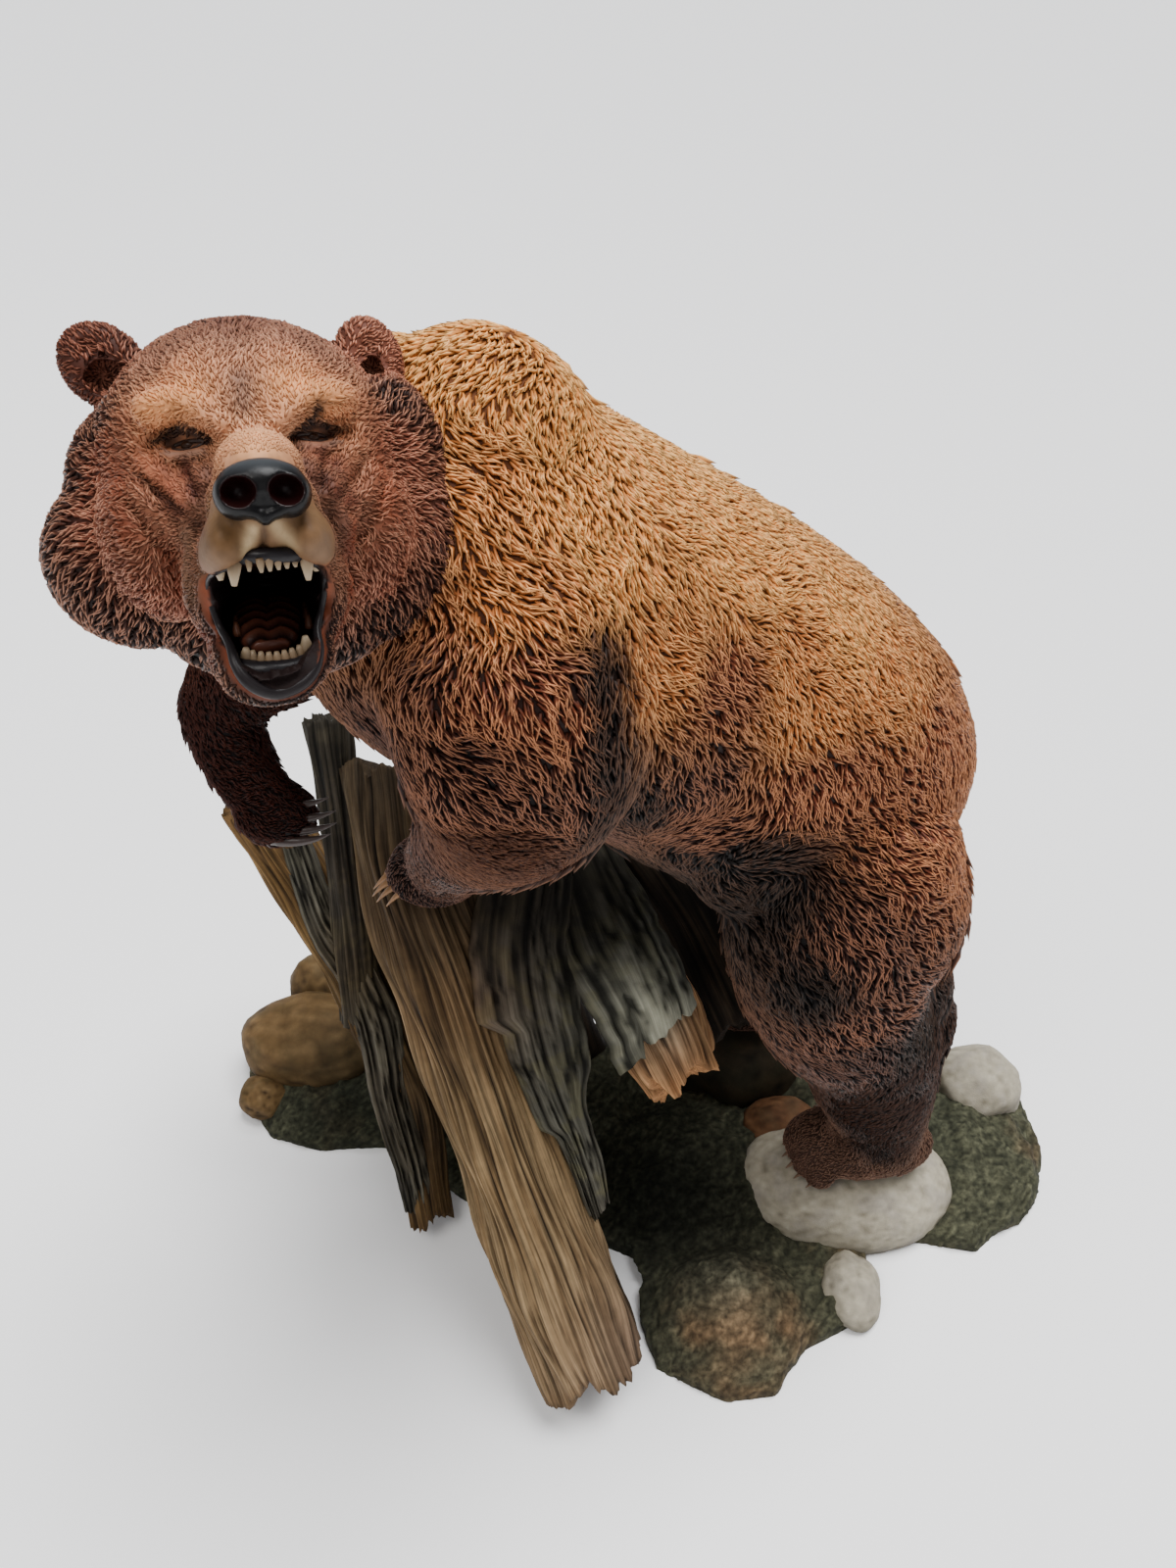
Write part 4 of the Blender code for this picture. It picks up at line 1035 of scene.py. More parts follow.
# Places where the hair simply hangs: the standing fore leg, the far hind leg and the tail.
HANGING = np.array((
    (-58, 10, 160, -0.3, 0, -1),
    (60, 45, 60, -0.2, 0, -1),
    (110, 33, 165, 0.1, 0.1, -1),
))
SEEN_RIGHT = np.array((1.0, 0, 0))
SEEN_DOWN = np.array((0, -0.643, -0.766))
flow_places = np.array([row[:3] for row in SEEN_FLOW], float)
flow_ways = unit([row[3] * SEEN_RIGHT + row[4] * SEEN_DOWN for row in SEEN_FLOW])
flow_places = np.vstack([flow_places, other_side(flow_places), HANGING[:, :3]])
flow_ways = np.vstack([flow_ways, other_side(flow_ways, np.zeros(3)), unit(HANGING[:, 3:])])
print("directions of the fur:", len(flow_places))


def noise_at(points, wide, seed=0):
    """Soft noise from -1 to 1 at points in millimetres, with humps of that width."""
    shift = Vector((seed * 7.3, seed * 3.1, -seed * 5.7))
    return np.array([noise.noise(Vector(p) + shift) for p in np.asarray(points) / wide])


def turned(ways, outward, angles):
    """Directions along the skin, turned about the skin's normal by some angle each."""
    c, s = np.cos(angles)[:, None], np.sin(angles)[:, None]
    return unit(ways * c + np.cross(outward, ways) * s)


def on_skin(ways, outward):
    """Directions laid flat on the skin, for the normals given."""
    return unit(ways - outward * np.sum(ways * outward, axis=1, keepdims=True))


def body_flow(points, outward):
    ways = on_skin(blend(points, flow_places, flow_ways, 3), outward)
    wander = np.radians(34) * noise_at(points, 13, 1) + np.radians(46) * noise_at(points, 4.4, 2)
    return turned(ways, outward, wander)


def head_flow(points, outward):
    """Away from the nose: up over the brow, out over the cheeks and down the throat."""
    ways = unit(points - np.array((0.9, -44, 4))) + np.array((0.0, 0.9, 0.0))
    fall = np.clip((14 - points[:, 2]) / 22, 0, 1) * np.clip((points[:, 1] + 22) / 16, 0, 1)
    ways[:, 2] -= 0.9 * fall
    ways = on_skin(ways, outward)
    wander = np.radians(24) * noise_at(points, 9, 3) + np.radians(20) * noise_at(points, 3.4, 4)
    return turned(ways, outward, wander)


# %% [markdown]
# ## Locks of fur
# A sculptor lays thin snakes of clay over the skin and draws each one out to a point. A lock here
# is such a snake: a closed three-sided spike whose ridge faces outwards. Roots are strewn over
# the skin, with gaps that go by the width of the locks there. From its root each lock creeps
# along the skin in two steps, bends a little each time, and lifts its tip. Neighbours lean
# together into tufts. Where the camera never looks the locks are fewer and broader.


# %% Roots strewn over the skin
def sprinkled(obj, count, seed):
    """Random points all over a skin in millimetres, with the normals there."""
    mesh = obj.data
    mesh.calc_loop_triangles()
    corners = np.empty(len(mesh.loop_triangles) * 3, np.int32)
    mesh.loop_triangles.foreach_get("vertices", corners)
    corners = corners.reshape(-1, 3)
    points, outward = points_of(obj) / MM, points_of(obj, "normal")
    a, b, c = (points[corners[:, k]] for k in range(3))
    area = np.linalg.norm(np.cross(b - a, c - a), axis=1)
    dice = np.random.default_rng(seed)
    picked = dice.choice(len(corners), count, p=area / area.sum())
    u, v = dice.random((2, count))
    over = u + v > 1
    u[over], v[over] = 1 - u[over], 1 - v[over]
    share = np.column_stack([1 - u - v, u, v])[:, :, None]
    mine = corners[picked]
    return (points[mine] * share).sum(1), unit((outward[mine] * share).sum(1))


def spaced(points, spacing):
    """Which points to keep so that none is nearer to another than the spacing there."""
    tree = kdtree.KDTree(len(points))
    for i, p in enumerate(points):
        tree.insert(p, i)
    tree.balance()
    free = bytearray(b"\x01" * len(points))
    kept = []
    for i, reach in enumerate(spacing):
        if free[i]:
            kept.append(i)
            for _, n, _ in tree.find_range(points[i], reach):
                free[n] = 0
    return np.array(kept)


# %% Locks as closed spikes
MOST_LOCKS = 19000
LENGTH_RANGE = (0.8, 1.2)
WIDTH_RANGE = (0.85, 1.15)
TINT_RANGE = (0.82, 1.18)
TUFT_GAP = 2.4
TUFT_REACH = 1.1
TUFT_PULL = 0.2
LOCK_BEND = np.radians(30)
STEPS = (0.0, 0.52, 1.0)
# The two rings of a lock: its width there, and how far it stands off the skin, as shares.
RINGS = ((0.85, -0.1), (1.0, 0.8))
# How far up the lock each corner counts when the three layers of paint are blended.
RISE = (0, 0.5, 0, 0.12, 1, 0.12, 1)
CORNERS = len(RISE)
SPIKE = [(0, 2, 1)] + [(3 + k, 3 + (k + 1) % 3, 6) for k in range(3)]
for k in range(3):
    n = (k + 1) % 3
    SPIKE += [(k, n, 3 + n), (k, 3 + n, 3 + k)]
SPIKE = np.array(SPIKE)


def tuft_goals(roots, ways, sizes):
    """The point that each lock leans to: the nearest of some tips that are strewn wider."""
    centres = spaced(roots[::2], sizes[::2, 1] * TUFT_GAP) * 2
    middle = kdtree.KDTree(len(centres))
    for i, n in enumerate(centres):
        middle.insert(roots[n] + ways[n] * sizes[n, 0] * TUFT_REACH, i)
    middle.balance()
    return np.array([middle.find(r + w * s)[0][:] for r, w, s in zip(roots, ways, sizes[:, 0])])


def locks(name, tree, roots, outward, ways, sizes, paints, lift=0.2, seed=0):
    """Fur of closed spikes, in pieces of no more than MOST_LOCKS."""
    count = len(roots)
    dice = np.random.default_rng(seed)
    length = sizes[:, 0] * dice.uniform(*LENGTH_RANGE, count)
    width = sizes[:, 1] * dice.uniform(*WIDTH_RANGE, count)
    phase = dice.uniform(0, 2 * math.pi, count)
    goal = tuft_goals(roots, ways, sizes)
    places, normals, headings = [roots], [outward], [ways]
    here, up, way = roots, outward, ways
    for k in range(2):
        bend = LOCK_BEND * np.cos(phase + 2.3 * k)
        pull = unit(goal - here) * TUFT_PULL * k
        way = on_skin(turned(way, up, bend) + pull, up)
        ahead = here + way * (length * (STEPS[k + 1] - STEPS[k]))[:, None]
        found = [tree.find_nearest(Vector(p) * MM)[:2] for p in ahead]
        here = np.array([f[0][:] for f in found]) / MM
        up = np.array([f[1][:] for f in found])
        places.append(here)
        normals.append(up)
        headings.append(way)
    rings = []
    for (narrow, rise), p, n, way in zip(RINGS, places, normals, headings):
        side = np.cross(way, n)
        half = (width * narrow / 2)[:, None]
        high = (rise * lift * length * 0.6)[:, None]
        low = p + n * (high - half * 0.5)
        rings += [low - side * half, p + n * (high + half * 0.9), low + side * half]
    rings.append(places[2] + normals[2] * (lift * length * 1.3)[:, None])
    points = np.stack(rings, axis=1)
    paints = paints.reshape(count, 3, 3) * dice.uniform(*TINT_RANGE, (count, 1, 1))
    parts = np.array_split(np.argsort(roots[:, 0]), math.ceil(count / MOST_LOCKS))
    made = []
    for n, part in enumerate(parts):
        faces = (SPIKE[None] + CORNERS * np.arange(len(part))[:, None, None]).reshape(-1, 3)
        piece = mesh_piece(f"{name}_{n + 1}", points[part].reshape(-1, 3) * MM, faces)
        for k, layer in enumerate(("wash", "paint", "brush")):
            brushed(piece, np.repeat(paints[part, k], CORNERS, axis=0), layer)
        rise = piece.data.attributes.new("rise", "FLOAT", "POINT")
        rise.data.foreach_set("value", np.tile(RISE, len(part)).astype(np.float32))
        made.append(smoothed(piece))
    return made


# %% Fur on the body
BODY_SPRINKLES = 420000
BODY_TRIANGLES = 40000
# The gap between roots as a share of a lock's width, where they are seen and where they aren't.
BODY_GAPS = (0.74, 2.1)
BODY_LOCK_SIZE = (0.84, 1.12)
CAMERA_MM = np.array(CAMERA_PLACE) / MM


def seen(points, outward):
    """Whether a point faces the camera, or nearly."""
    return np.sum(unit(CAMERA_MM - points) * outward, axis=1) > -0.12


body_tree = skin_tree(body)
roots, outward = sprinkled(body, BODY_SPRINKLES, 1)
inward = into_head(roots * MM)
covered = np.linalg.norm((inward - (1, 4, 2)) / (29, 22, 26), axis=1) < 1
buried = (roots[:, 2] < 27) | ((outward[:, 2] < -0.8) & (roots[:, 2] < 60))
spare = ~seen(roots, outward) & (np.arange(len(roots)) % 5 > 0)
roots, outward = (a[~covered & ~buried & ~spare] for a in (roots, outward))
values = blend(roots, body_places, body_values)
spacing = values[:, 10] * np.where(seen(roots, outward), *BODY_GAPS)
kept = spaced(roots, spacing)
roots, outward, values = roots[kept], outward[kept], values[kept]
ways = body_flow(roots, outward)
wide = np.where(seen(roots, outward), 1.0, BODY_GAPS[1])
sizes = values[:, 9:11] * BODY_LOCK_SIZE * wide[:, None]
body_fur = locks("body_fur", body_tree, roots, outward, ways, sizes, values[:, :9], seed=11)
thinned(body, BODY_TRIANGLES)
print("locks on the body:", len(roots), "of them seen:", int(seen(roots, outward).sum()))

# %% [markdown]
# ## Fur on the head, and the colours of the face
# The ruff has long locks with pale tips. Towards the nose the hair gets as short as a stroke of
# the brush, and on the lips there is none. The face was then shaded with thin dark paint round
# the eyes and in the folds, and with an orange tan over the brows. `dabs` lays such shades on
# the skin and the hair alike. The inside of the mouth and of the ears is painted last.

# %% Dabs of paint on the face
# Each dab's line as seen from the front, its radius, its paint and how much of it.
FACE_DABS = (
    ([(-7.7, 18.6), (-12.5, 17.8)], 3.2, (212, 148, 96), 0.75),
    ([(7.6, 19.2), (12.5, 18.4)], 3.2, (212, 148, 96), 0.75),
    ([(0.9, 12.5), (0.9, 8.5)], 3.6, (214, 156, 110), 0.65),
    ([(0.2, 16.6), (0.6, 20.5)], 2.4, (112, 84, 72), 0.8),
    ([(-10, 27), (0.9, 29), (12, 27)], 6.0, (100, 66, 53), 0.6),
    ([(-17, 16), (-19, 10)], 3.0, (112, 66, 48), 0.6),
    ([(18.5, 16), (20, 10)], 3.0, (112, 66, 48), 0.6),
    # The dark lines over the eyes, in this row and those below, are the eyes' dark paint. In the crease
    # under each brow they are also partly painted shadow of the brow.
    ([(-5.0, 12.0), (-7.2, 13.8), (-9.1, 14.8), (-11.4, 14.0), (-13.6, 12.8)], 0.95, (24, 17, 17), 0.95),
    ([(6.6, 11.6), (9.0, 13.4), (10.2, 15.0), (11.0, 16.2)], 1.3, (30, 22, 22), 0.9),
    ([(-7.2, 13.2), (-9.3, 14.1), (-11.4, 13.5)], 1.0, (34, 24, 22), 0.85),
    ([(8.4, 13.0), (10.0, 14.2), (12.4, 13.4)], 1.0, (36, 26, 24), 0.85),
    ([(-8.9, 9.4), (-8.5, 5.0), (-8.8, 0.5)], 1.1, (62, 34, 28), 0.7),
    ([(10.4, 8.6), (10.1, 4.0), (10.8, 0.5)], 1.1, (66, 38, 30), 0.65),
    ([(-12.6, 9.0), (-11.6, 5.4)], 0.9, (84, 44, 34), 0.6),
    ([(12.6, 6.6), (13.6, 3.4)], 0.9, (84, 46, 36), 0.6),
    ([(-7.4, -3.4), (-9.0, -6.2)], 1.5, (84, 66, 52), 0.6),
    ([(8.4, -3.2), (9.6, -6.2)], 1.5, (88, 70, 56), 0.55),
    ([(9.8, 13.2), (12.4, 13.2), (14.4, 12.5)], 0.7, (26, 19, 19), 0.9),
    ([(-5.8, 12.0), (-9.0, 12.1), (-11.6, 12.2)], 0.85, (26, 18, 17), 0.95),
    ([(7.2, 11.6), (10.0, 11.7), (12.8, 12.0)], 0.85, (26, 18, 17), 0.95),
    ([(-6.6, 10.6), (-12.2, 11.0)], 0.7, (132, 104, 90), 0.8),
    ([(8.0, 10.2), (13.4, 10.8)], 0.7, (128, 102, 90), 0.8),
    ([(-15.5, 10.6), (-13.0, 7.3), (-10.9, 4.2)], 2.0, (176, 106, 78), 0.5),
    ([(9.3, 9.6), (12.4, 8.3), (14.9, 5.4)], 1.8, (166, 102, 78), 0.45),
    ([(-16.2, 7.4), (-13.8, 5.0), (-10.8, 2.0)], 1.2, (54, 26, 20), 0.85),
    ([(-9.6, 8.6), (-9.2, 7.2)], 1.3, (74, 32, 24), 0.85),
    ([(-8.6, 5.2), (-7.9, 3.6)], 1.2, (56, 24, 20), 0.85),
    ([(10.6, 9.2), (12.4, 7.4)], 1.2, (78, 38, 30), 0.75),
    ([(10.6, 4.6), (9.9, 2.8)], 1.5, (58, 28, 23), 0.85),
    ([(12.0, 3.4), (14.6, 1.4)], 1.1, (92, 46, 34), 0.6),
    ([(-6.3, 8.2), (-7.3, 3.0), (-7.8, -1.0)], 1.0, (84, 54, 42), 0.7),
    ([(8.0, 8.0), (8.9, 3.0), (9.6, -1.0)], 1.1, (96, 64, 54), 0.6),
    ([(-10.5, -1.0), (-11.2, -6.0), (-11.0, -10.0)], 1.7, (92, 70, 54), 0.7),
    ([(12.0, -1.0), (12.2, -6.0)], 1.7, (96, 66, 56), 0.6),
    ([(-13.6, -4.0), (-12.6, -12.0), (-9.6, -18.5)], 1.8, (104, 46, 30), 0.6),
    ([(14.0, -3.0), (12.4, -11.0), (9.0, -18.5)], 1.8, (120, 56, 36), 0.6),
    ([(-19.0, 8.0), (-19.5, 0.0)], 2.0, (112, 54, 36), 0.5),
    ([(19.5, 8.0), (20.0, 0.0)], 2.0, (136, 70, 46), 0.5),
    ([(-3.9, -0.9), (-4.6, -2.6)], 1.9, (92, 66, 40), 0.85),
    ([(4.9, -0.6), (5.8, -2.0)], 1.8, (104, 76, 50), 0.8),
    ([(-6.6, -4.6), (-8.4, -6.4)], 1.6, (112, 88, 68), 0.7),
    ([(7.0, -4.4), (8.6, -6.2)], 1.6, (116, 92, 72), 0.7),
    ([(-8.0, 2.0), (-8.8, -2.5), (-9.4, -6.0)], 2.1, (88, 58, 42), 0.85),
    ([(9.6, 2.0), (10.4, -2.5), (10.6, -6.0)], 2.1, (92, 60, 44), 0.8),
    ([(-1.2, -1.0), (-2.6, -4.0)], 0.9, (176, 154, 118), 0.7),
    ([(1.8, -0.6), (3.6, -3.4)], 1.1, (164, 142, 108), 0.7),
    ([(0.3, 0.4), (0.1, -2.2), (-0.3, -4.0)], 0.55, (84, 64, 48), 0.8),
    ([(-2.4, 4.0)], 2.6, (12, 8, 8), 0.95), ([(3.8, 3.8)], 2.6, (12, 8, 8), 0.95),
)
MOUTH_PAINT = chart(20, 10, 9)
BOWL_PAINT = chart(30, 20, 19)
EAR_HOLLOW_PAINT = chart(24, 12, 10)
LIP_SHADE = chart(120, 60, 38)


def dabs(points, colours):
    """The colours with the face's dabs laid over them."""
    for line, radius, paint, strength in FACE_DABS:
        line = line if len(line) > 1 else line * 2
        dropped = np.array([on_face(face_tree, x, z) for x, z in line])
        cover = strength * np.exp(-((distance_to_line(points, dropped) / radius) ** 2))
        shape = (len(points),) + (1,) * (colours.ndim - 1)
        colours = towards(colours, chart(*paint), cover.reshape(shape))
    return colours


def within(points, form, grow):
    """How deep points lie in one of the head's forms: below one is inside."""
    centre, radii, degrees = form
    return np.linalg.norm((points - centre) @ lean(degrees) / (np.array(radii) + grow), axis=1)


# %% Colours of the head's skin
inward = into_head(points_of(head))
skin = blend(inward, head_places, head_values)[:, :9].reshape(-1, 3, 3)
bare = np.clip((-3 - inward[:, 1]) / 12, 0.1, 1)[:, None]
skin = skin[:, 0] * (0.9 - 0.9 * bare) + skin[:, 1] * (0.1 + 0.9 * bare)
skin = dabs(inward, skin)
ridges = np.clip(noise_at(inward * (2.2, 0.6, 1.0), 1.3, 5), -1, 1)[:, None]
skin = skin * (1 + 0.2 * ridges)
lip_ring = np.vstack([lip_path, lip_path[:1]])
rim = distance_to_line(inward, lip_ring)
shade = np.exp(-((rim / 1.3) ** 2))[:, None]
skin = skin + (LIP_SHADE - skin) * shade * np.clip((-3.6 - inward[:, 2]) / 3, 0.15, 0.9)[:, None]
in_mouth = np.min([within(inward, form, 0.45) for form in HEAD_CUTS[:3]], axis=0) < 1
skin[in_mouth & (inward[:, 1] > -41)] = MOUTH_PAINT
skin[inside_lips(inward)] = BOWL_PAINT
for form in HEAD_CUTS[4:]:
    deep = np.clip((1.05 - within(inward, form, 0.3)) * 4, 0, 1)[:, None]
    skin = skin + (EAR_HOLLOW_PAINT - skin) * deep * 0.92
brushed(head, skin)

# %% Colours of the body's skin
skin = blend(points_of(body) / MM, body_places, body_values)[:, :9].reshape(-1, 3, 3)
short = np.clip((42 - points_of(body)[:, 2] / MM) / 12, 0, 1)[:, None]
brushed(body, skin[:, 0] * (0.85 - 0.5 * short) + skin[:, 1] * (0.1 + 0.5 * short))

# %% Fur on the head
HEAD_SPRINKLES = 100000
HEAD_TRIANGLES = 70000
HEAD_GAPS = (0.84, 1.9)
HEAD_LOCK_SIZE = (1.0, 1.25)
head_tree = skin_tree(head)
roots, outward = sprinkled(head, HEAD_SPRINKLES, 2)
inward = into_head(roots * MM)
facing = outward @ HEAD_AXES
values = blend(inward, head_places, head_values)
keep = np.min([within(inward, form, 0.9) for form in HEAD_CUTS[:3]], axis=0) > 1
keep &= np.min([within(inward, form, 0.2) for form in HEAD_CUTS[4:]], axis=0) > 1
keep &= ~((inward[:, 1] < -38) & (inward[:, 2] < 9)) & ~inside_lips(inward)
keep &= distance_to_line(inward, lip_ring) > 1.6
for x, z, _ in EYE_PLACES:
    eye = on_face(face_tree, x, z)
    keep &= np.linalg.norm((inward - eye) / (3.4, 6, 1.7), axis=1) > 1
roots, outward, inward, facing, values = (a[keep] for a in (roots, outward, inward, facing, values))
spacing = values[:, 10] * np.where(seen(roots, outward), *HEAD_GAPS)
kept = spaced(roots, spacing)
roots, outward, inward, facing, values = (a[kept] for a in (roots, outward, inward, facing, values))
ways = head_flow(inward, facing) @ HEAD_AXES.T
wide = np.where(seen(roots, outward), 1.0, HEAD_GAPS[1])
sizes = values[:, 9:11] * HEAD_LOCK_SIZE * wide[:, None]
paints = dabs(inward, values[:, :9].reshape(-1, 3, 3))
head_fur = locks("head_fur", head_tree, roots, outward, ways, sizes, paints, lift=0.14, seed=12)
thinned(head, HEAD_TRIANGLES)
print("locks on the head:", len(roots))

# %% [markdown]
# ## The bear's paint and varnish
# On the statue each part has a shine of its own: satin fur, a wet mouth, a lacquered nose and
# polished horn. A picture wrapped round the bear would smear on such deep fur, so the colours lie
# on the vertices instead. A material only reads them there, makes them a little uneven and adds a
# fine grain. A lock has three layers of colour, and they are blended by how far up it a point is.

# %% Colours of the smooth pieces
PLAIN_PAINTS = (
    (eyes, (44, 26, 16)), (lids, (46, 32, 27)), (gums, (30, 27, 29)), (palate, (34, 16, 13)),
    (hind_claws, (96, 72, 54)), (fore_claws, (132, 94, 56)), (raised_claws, (48, 36, 32)),
)
for piece, paint in PLAIN_PAINTS:
    brushed(piece, chart(*paint))
inward = into_head(points_of(nose))
# The top of the black nose is painted grey-blue as a painted highlight, where the light catches it.
top = np.clip((inward[:, 2] - 6.0) / 1.6, 0, 1)[:, None]
nose_paint = chart(9, 8, 9) * (1 - top) + chart(50, 53, 56) * top
for form in NOSTRILS:
    nose_paint[within(inward, form, 0.12) < 1] = chart(24, 6, 6)
brushed(nose, nose_paint)
inward = into_head(points_of(lips))
# The lower lip is painted greyer than the upper lip. This is partly its own grey rim and partly a painted
# sheen.
low = np.clip((-6 - inward[:, 2]) / 10, 0, 1)[:, None]
brushed(lips, chart(20, 15, 15) * (1 - low) + chart(30, 26, 27) * low)
inward = into_head(points_of(tongue))
rib = np.clip(0.5 + 0.5 * tongue_ribs(inward), 0, 1)[:, None]
brushed(tongue, chart(22, 10, 8) * (1 - rib) + chart(78, 42, 30) * rib)
inward = into_head(points_of(teeth))
upper = inward[:, 2] > -12
back = np.clip((inward[:, 1] + 31) / 3, 0, 1)[:, None]
to_gum = np.where(upper, inward[:, 2] + 7.5, -17.5 - inward[:, 2])
root_share = np.clip(to_gum / 3, 0, 1)[:, None]
ivory = chart(158, 140, 114) * (1 - root_share) + chart(104, 80, 56) * root_share
brushed(teeth, ivory * (1 - back) + chart(84, 50, 34) * back)
print("plain paints:", len(PLAIN_PAINTS), "points of the roots of teeth:", int((root_share > 0).sum()))


# %% Nodes of a finish
def feed(material, node, inputs):
    """Sets a node's inputs, or links them where another node's output is given."""
    for name, value in inputs.items():
        if isinstance(value, bpy.types.NodeSocket):
            material.node_tree.links.new(value, node.inputs[name])
        else:
            node.inputs[name].default_value = value
    return node


def added(material, kind, inputs, **settings):
    """A new node with its settings and its inputs."""
    node = material.node_tree.nodes.new("ShaderNode" + kind)
    for name, value in settings.items():
        setattr(node, name, value)
    return feed(material, node, inputs)


def layer_of(material, name, output="Color"):
    """What a layer of the mesh holds."""
    return added(material, "Attribute", {}, attribute_name=name).outputs[output]


def times(material, colour, share):
    """A colour made lighter or darker by a share."""
    node = added(material, "VectorMath", {"Vector": colour, "Scale": share}, operation="SCALE")
    return node.outputs["Vector"]


def source_of(material, name):
    """The node that feeds this input of the material's shader."""
    return material.node_tree.nodes["Principled BSDF"].inputs[name].links[0].from_node


def finished(finishes):
    """Gives each piece its finish, and lists all the pieces."""
    for finish, pieces in finishes.items():
        for piece in pieces:
            piece.data.materials.clear()
            piece.data.materials.append(finish)
    return [piece for pieces in finishes.values() for piece in pieces]


# %% Finishes of the bear
def brushed_finish(name, roughness, mottle=0.12, scale=220, grain=0.15, shine=0.12):
    """The colours on the vertices, a little uneven, over a faintly grainy resin."""
    made = bpy.data.materials.new(name)
    made.use_nodes = True
    place = added(made, "TexCoord", {}).outputs["Object"]
    cloud = added(made, "TexNoise", {"Vector": place, "Scale": scale, "Detail": 4.0})
    uneven = added(made, "MapRange", {
        "Value": cloud.outputs["Fac"], "From Min": 0.3, "From Max": 0.7,
        "To Min": 1 - mottle, "To Max": 1 + mottle,
    })
    fine = added(made, "TexNoise", {"Vector": place, "Scale": scale * 6, "Detail": 2.0})
    bump = added(made, "Bump", {
        "Height": fine.outputs["Fac"], "Strength": grain, "Distance": 0.0004,
    })
    feed(made, made.node_tree.nodes["Principled BSDF"], {
        "Base Color": times(made, layer_of(made, "paint"), uneven.outputs["Result"]),
        "Normal": bump.outputs["Normal"], "Roughness": roughness, "Specular IOR Level": shine,
    })
    return made


def lock_finish(name, roughness):
    """The wash at a lock's foot, its own colour on the sides and the dry brush on its ridge."""
    made = brushed_finish(name, roughness, mottle=0.16)
    rise = layer_of(made, "rise", "Fac")
    colour = layer_of(made, "wash")
    for layer, foot, top in (("paint", 0.15, 0.6), ("brush", 0.78, 1.0)):
        share = added(made, "MapRange", {"Value": rise, "From Min": foot, "From Max": top})
        mix = added(made, "Mix", {
            "Factor": share.outputs["Result"], 6: colour, 7: layer_of(made, layer),
        }, data_type="RGBA")
        colour = mix.outputs[2]
    feed(made, source_of(made, "Base Color"), {"Vector": colour})
    return made


skin_finish = brushed_finish("painted skin", 0.52, mottle=0.16)
coat_finish = lock_finish("painted coat", 0.5)
gloss_finish = brushed_finish("glossy enamel", 0.33, mottle=0.05, grain=0.08, shine=0.15)
wet_finish = brushed_finish("wet mouth", 0.34, mottle=0.12, grain=0.12, shine=0.19)
tooth_finish = brushed_finish("ivory teeth", 0.4, mottle=0.06, grain=0.05, shine=0.3)
horn_finish = brushed_finish("horn claws", 0.32, mottle=0.2, grain=0.1, shine=0.4)
bear_pieces = finished({
    skin_finish: [body, head],
    coat_finish: [*body_fur, *head_fur],
    gloss_finish: [nose, eyes, lips],
    wet_finish: [lids, gums, tongue, palate],
    tooth_finish: [teeth],
    horn_finish: [hind_claws, fore_claws, raised_claws],
})
print("pieces of the bear:", len(bear_pieces))

# %% [markdown]
# ## The driftwood
# Old wood splits along its grain: deep grooves run the whole length, fine lines lie between
# them, and a broken end is a brush of splinters. Each log is a tube whose rings take their
# radius from soft noise that is stretched along the log, and its ends are pulled out and pushed
# in splinter by splinter. A slab is a grid with two faces, a torn rim and cracks between strips.

# %% The tables of the wood
BARK = np.array((0.95, 0.2, -0.2))
# A log's middle line in mm, its half width and half thickness, how thick its foot is against its
# top, how many ribs it has, a seed, how many points go round and along it, and its paint.
LOGS = {
    "core_log": (((-18, 40, -4), (-24, 36, 30), (-33, 32, 66), (-46, 26, 112)),
                 30, 22, 1, 14, 2, 64, 60, "dark wood"),
    "long_log": (((3, -78, 15), (-9, -58, 36), (-25, -30, 66),
                  (-42, 2, 103), (-54, 24, 130), (-59, 49, 152)),
                 18, 14, 1, 16, 4, 160, 130, "golden wood"),
    "broken_log": (((31, -10, 71), (19, 10, 86), (3, 35, 104), (-14, 58, 122)),
                   19, 15, 0.8, 14, 5, 112, 80, "orange wood"),
    "left_log": (((-55, -22, 9), (-63, 3, 43), (-83, 31, 85), (-112, 62, 128)),
                 13, 11, 0.66, 10, 6, 88, 120, "olive wood"),
    "back_plank": (((-77, 17, 68), (-79, 39, 124), (-81, 55, 168)),
                   7.5, 6.5, 1, 10, 8, 64, 90, "grey wood"),
    "dark_log": (((51, 17, 65), (33, 42, 94), (8, 60, 129)),
                 20, 10, 1, 10, 9, 80, 60, "dark wood"),
    "rear_log": (((-96, 78, 10), (-60, 66, 70), (-30, 56, 128)),
                 15, 12, 1, 10, 10, 64, 90, "golden wood"),
}
# Half widths to the left and right of a slab's middle line, by the share of its length.
SLAB_RIMS = {
    "long_slab": (((0, 15), (0.4, 16), (0.44, 9.5), (0.72, 8.5), (0.76, 4.5), (1, 3)),
                  ((0, 14), (0.5, 17), (0.62, 13), (0.7, 8), (1, 5))),
    "short_slab": (((0, 12), (0.5, 20), (1, 15)), ((0, 12), (0.5, 17), (1, 16))),
    "left_slab": (((0, 5), (0.5, 7.5), (1, 5)), ((0, 5), (0.5, 7.5), (1, 5))),
}
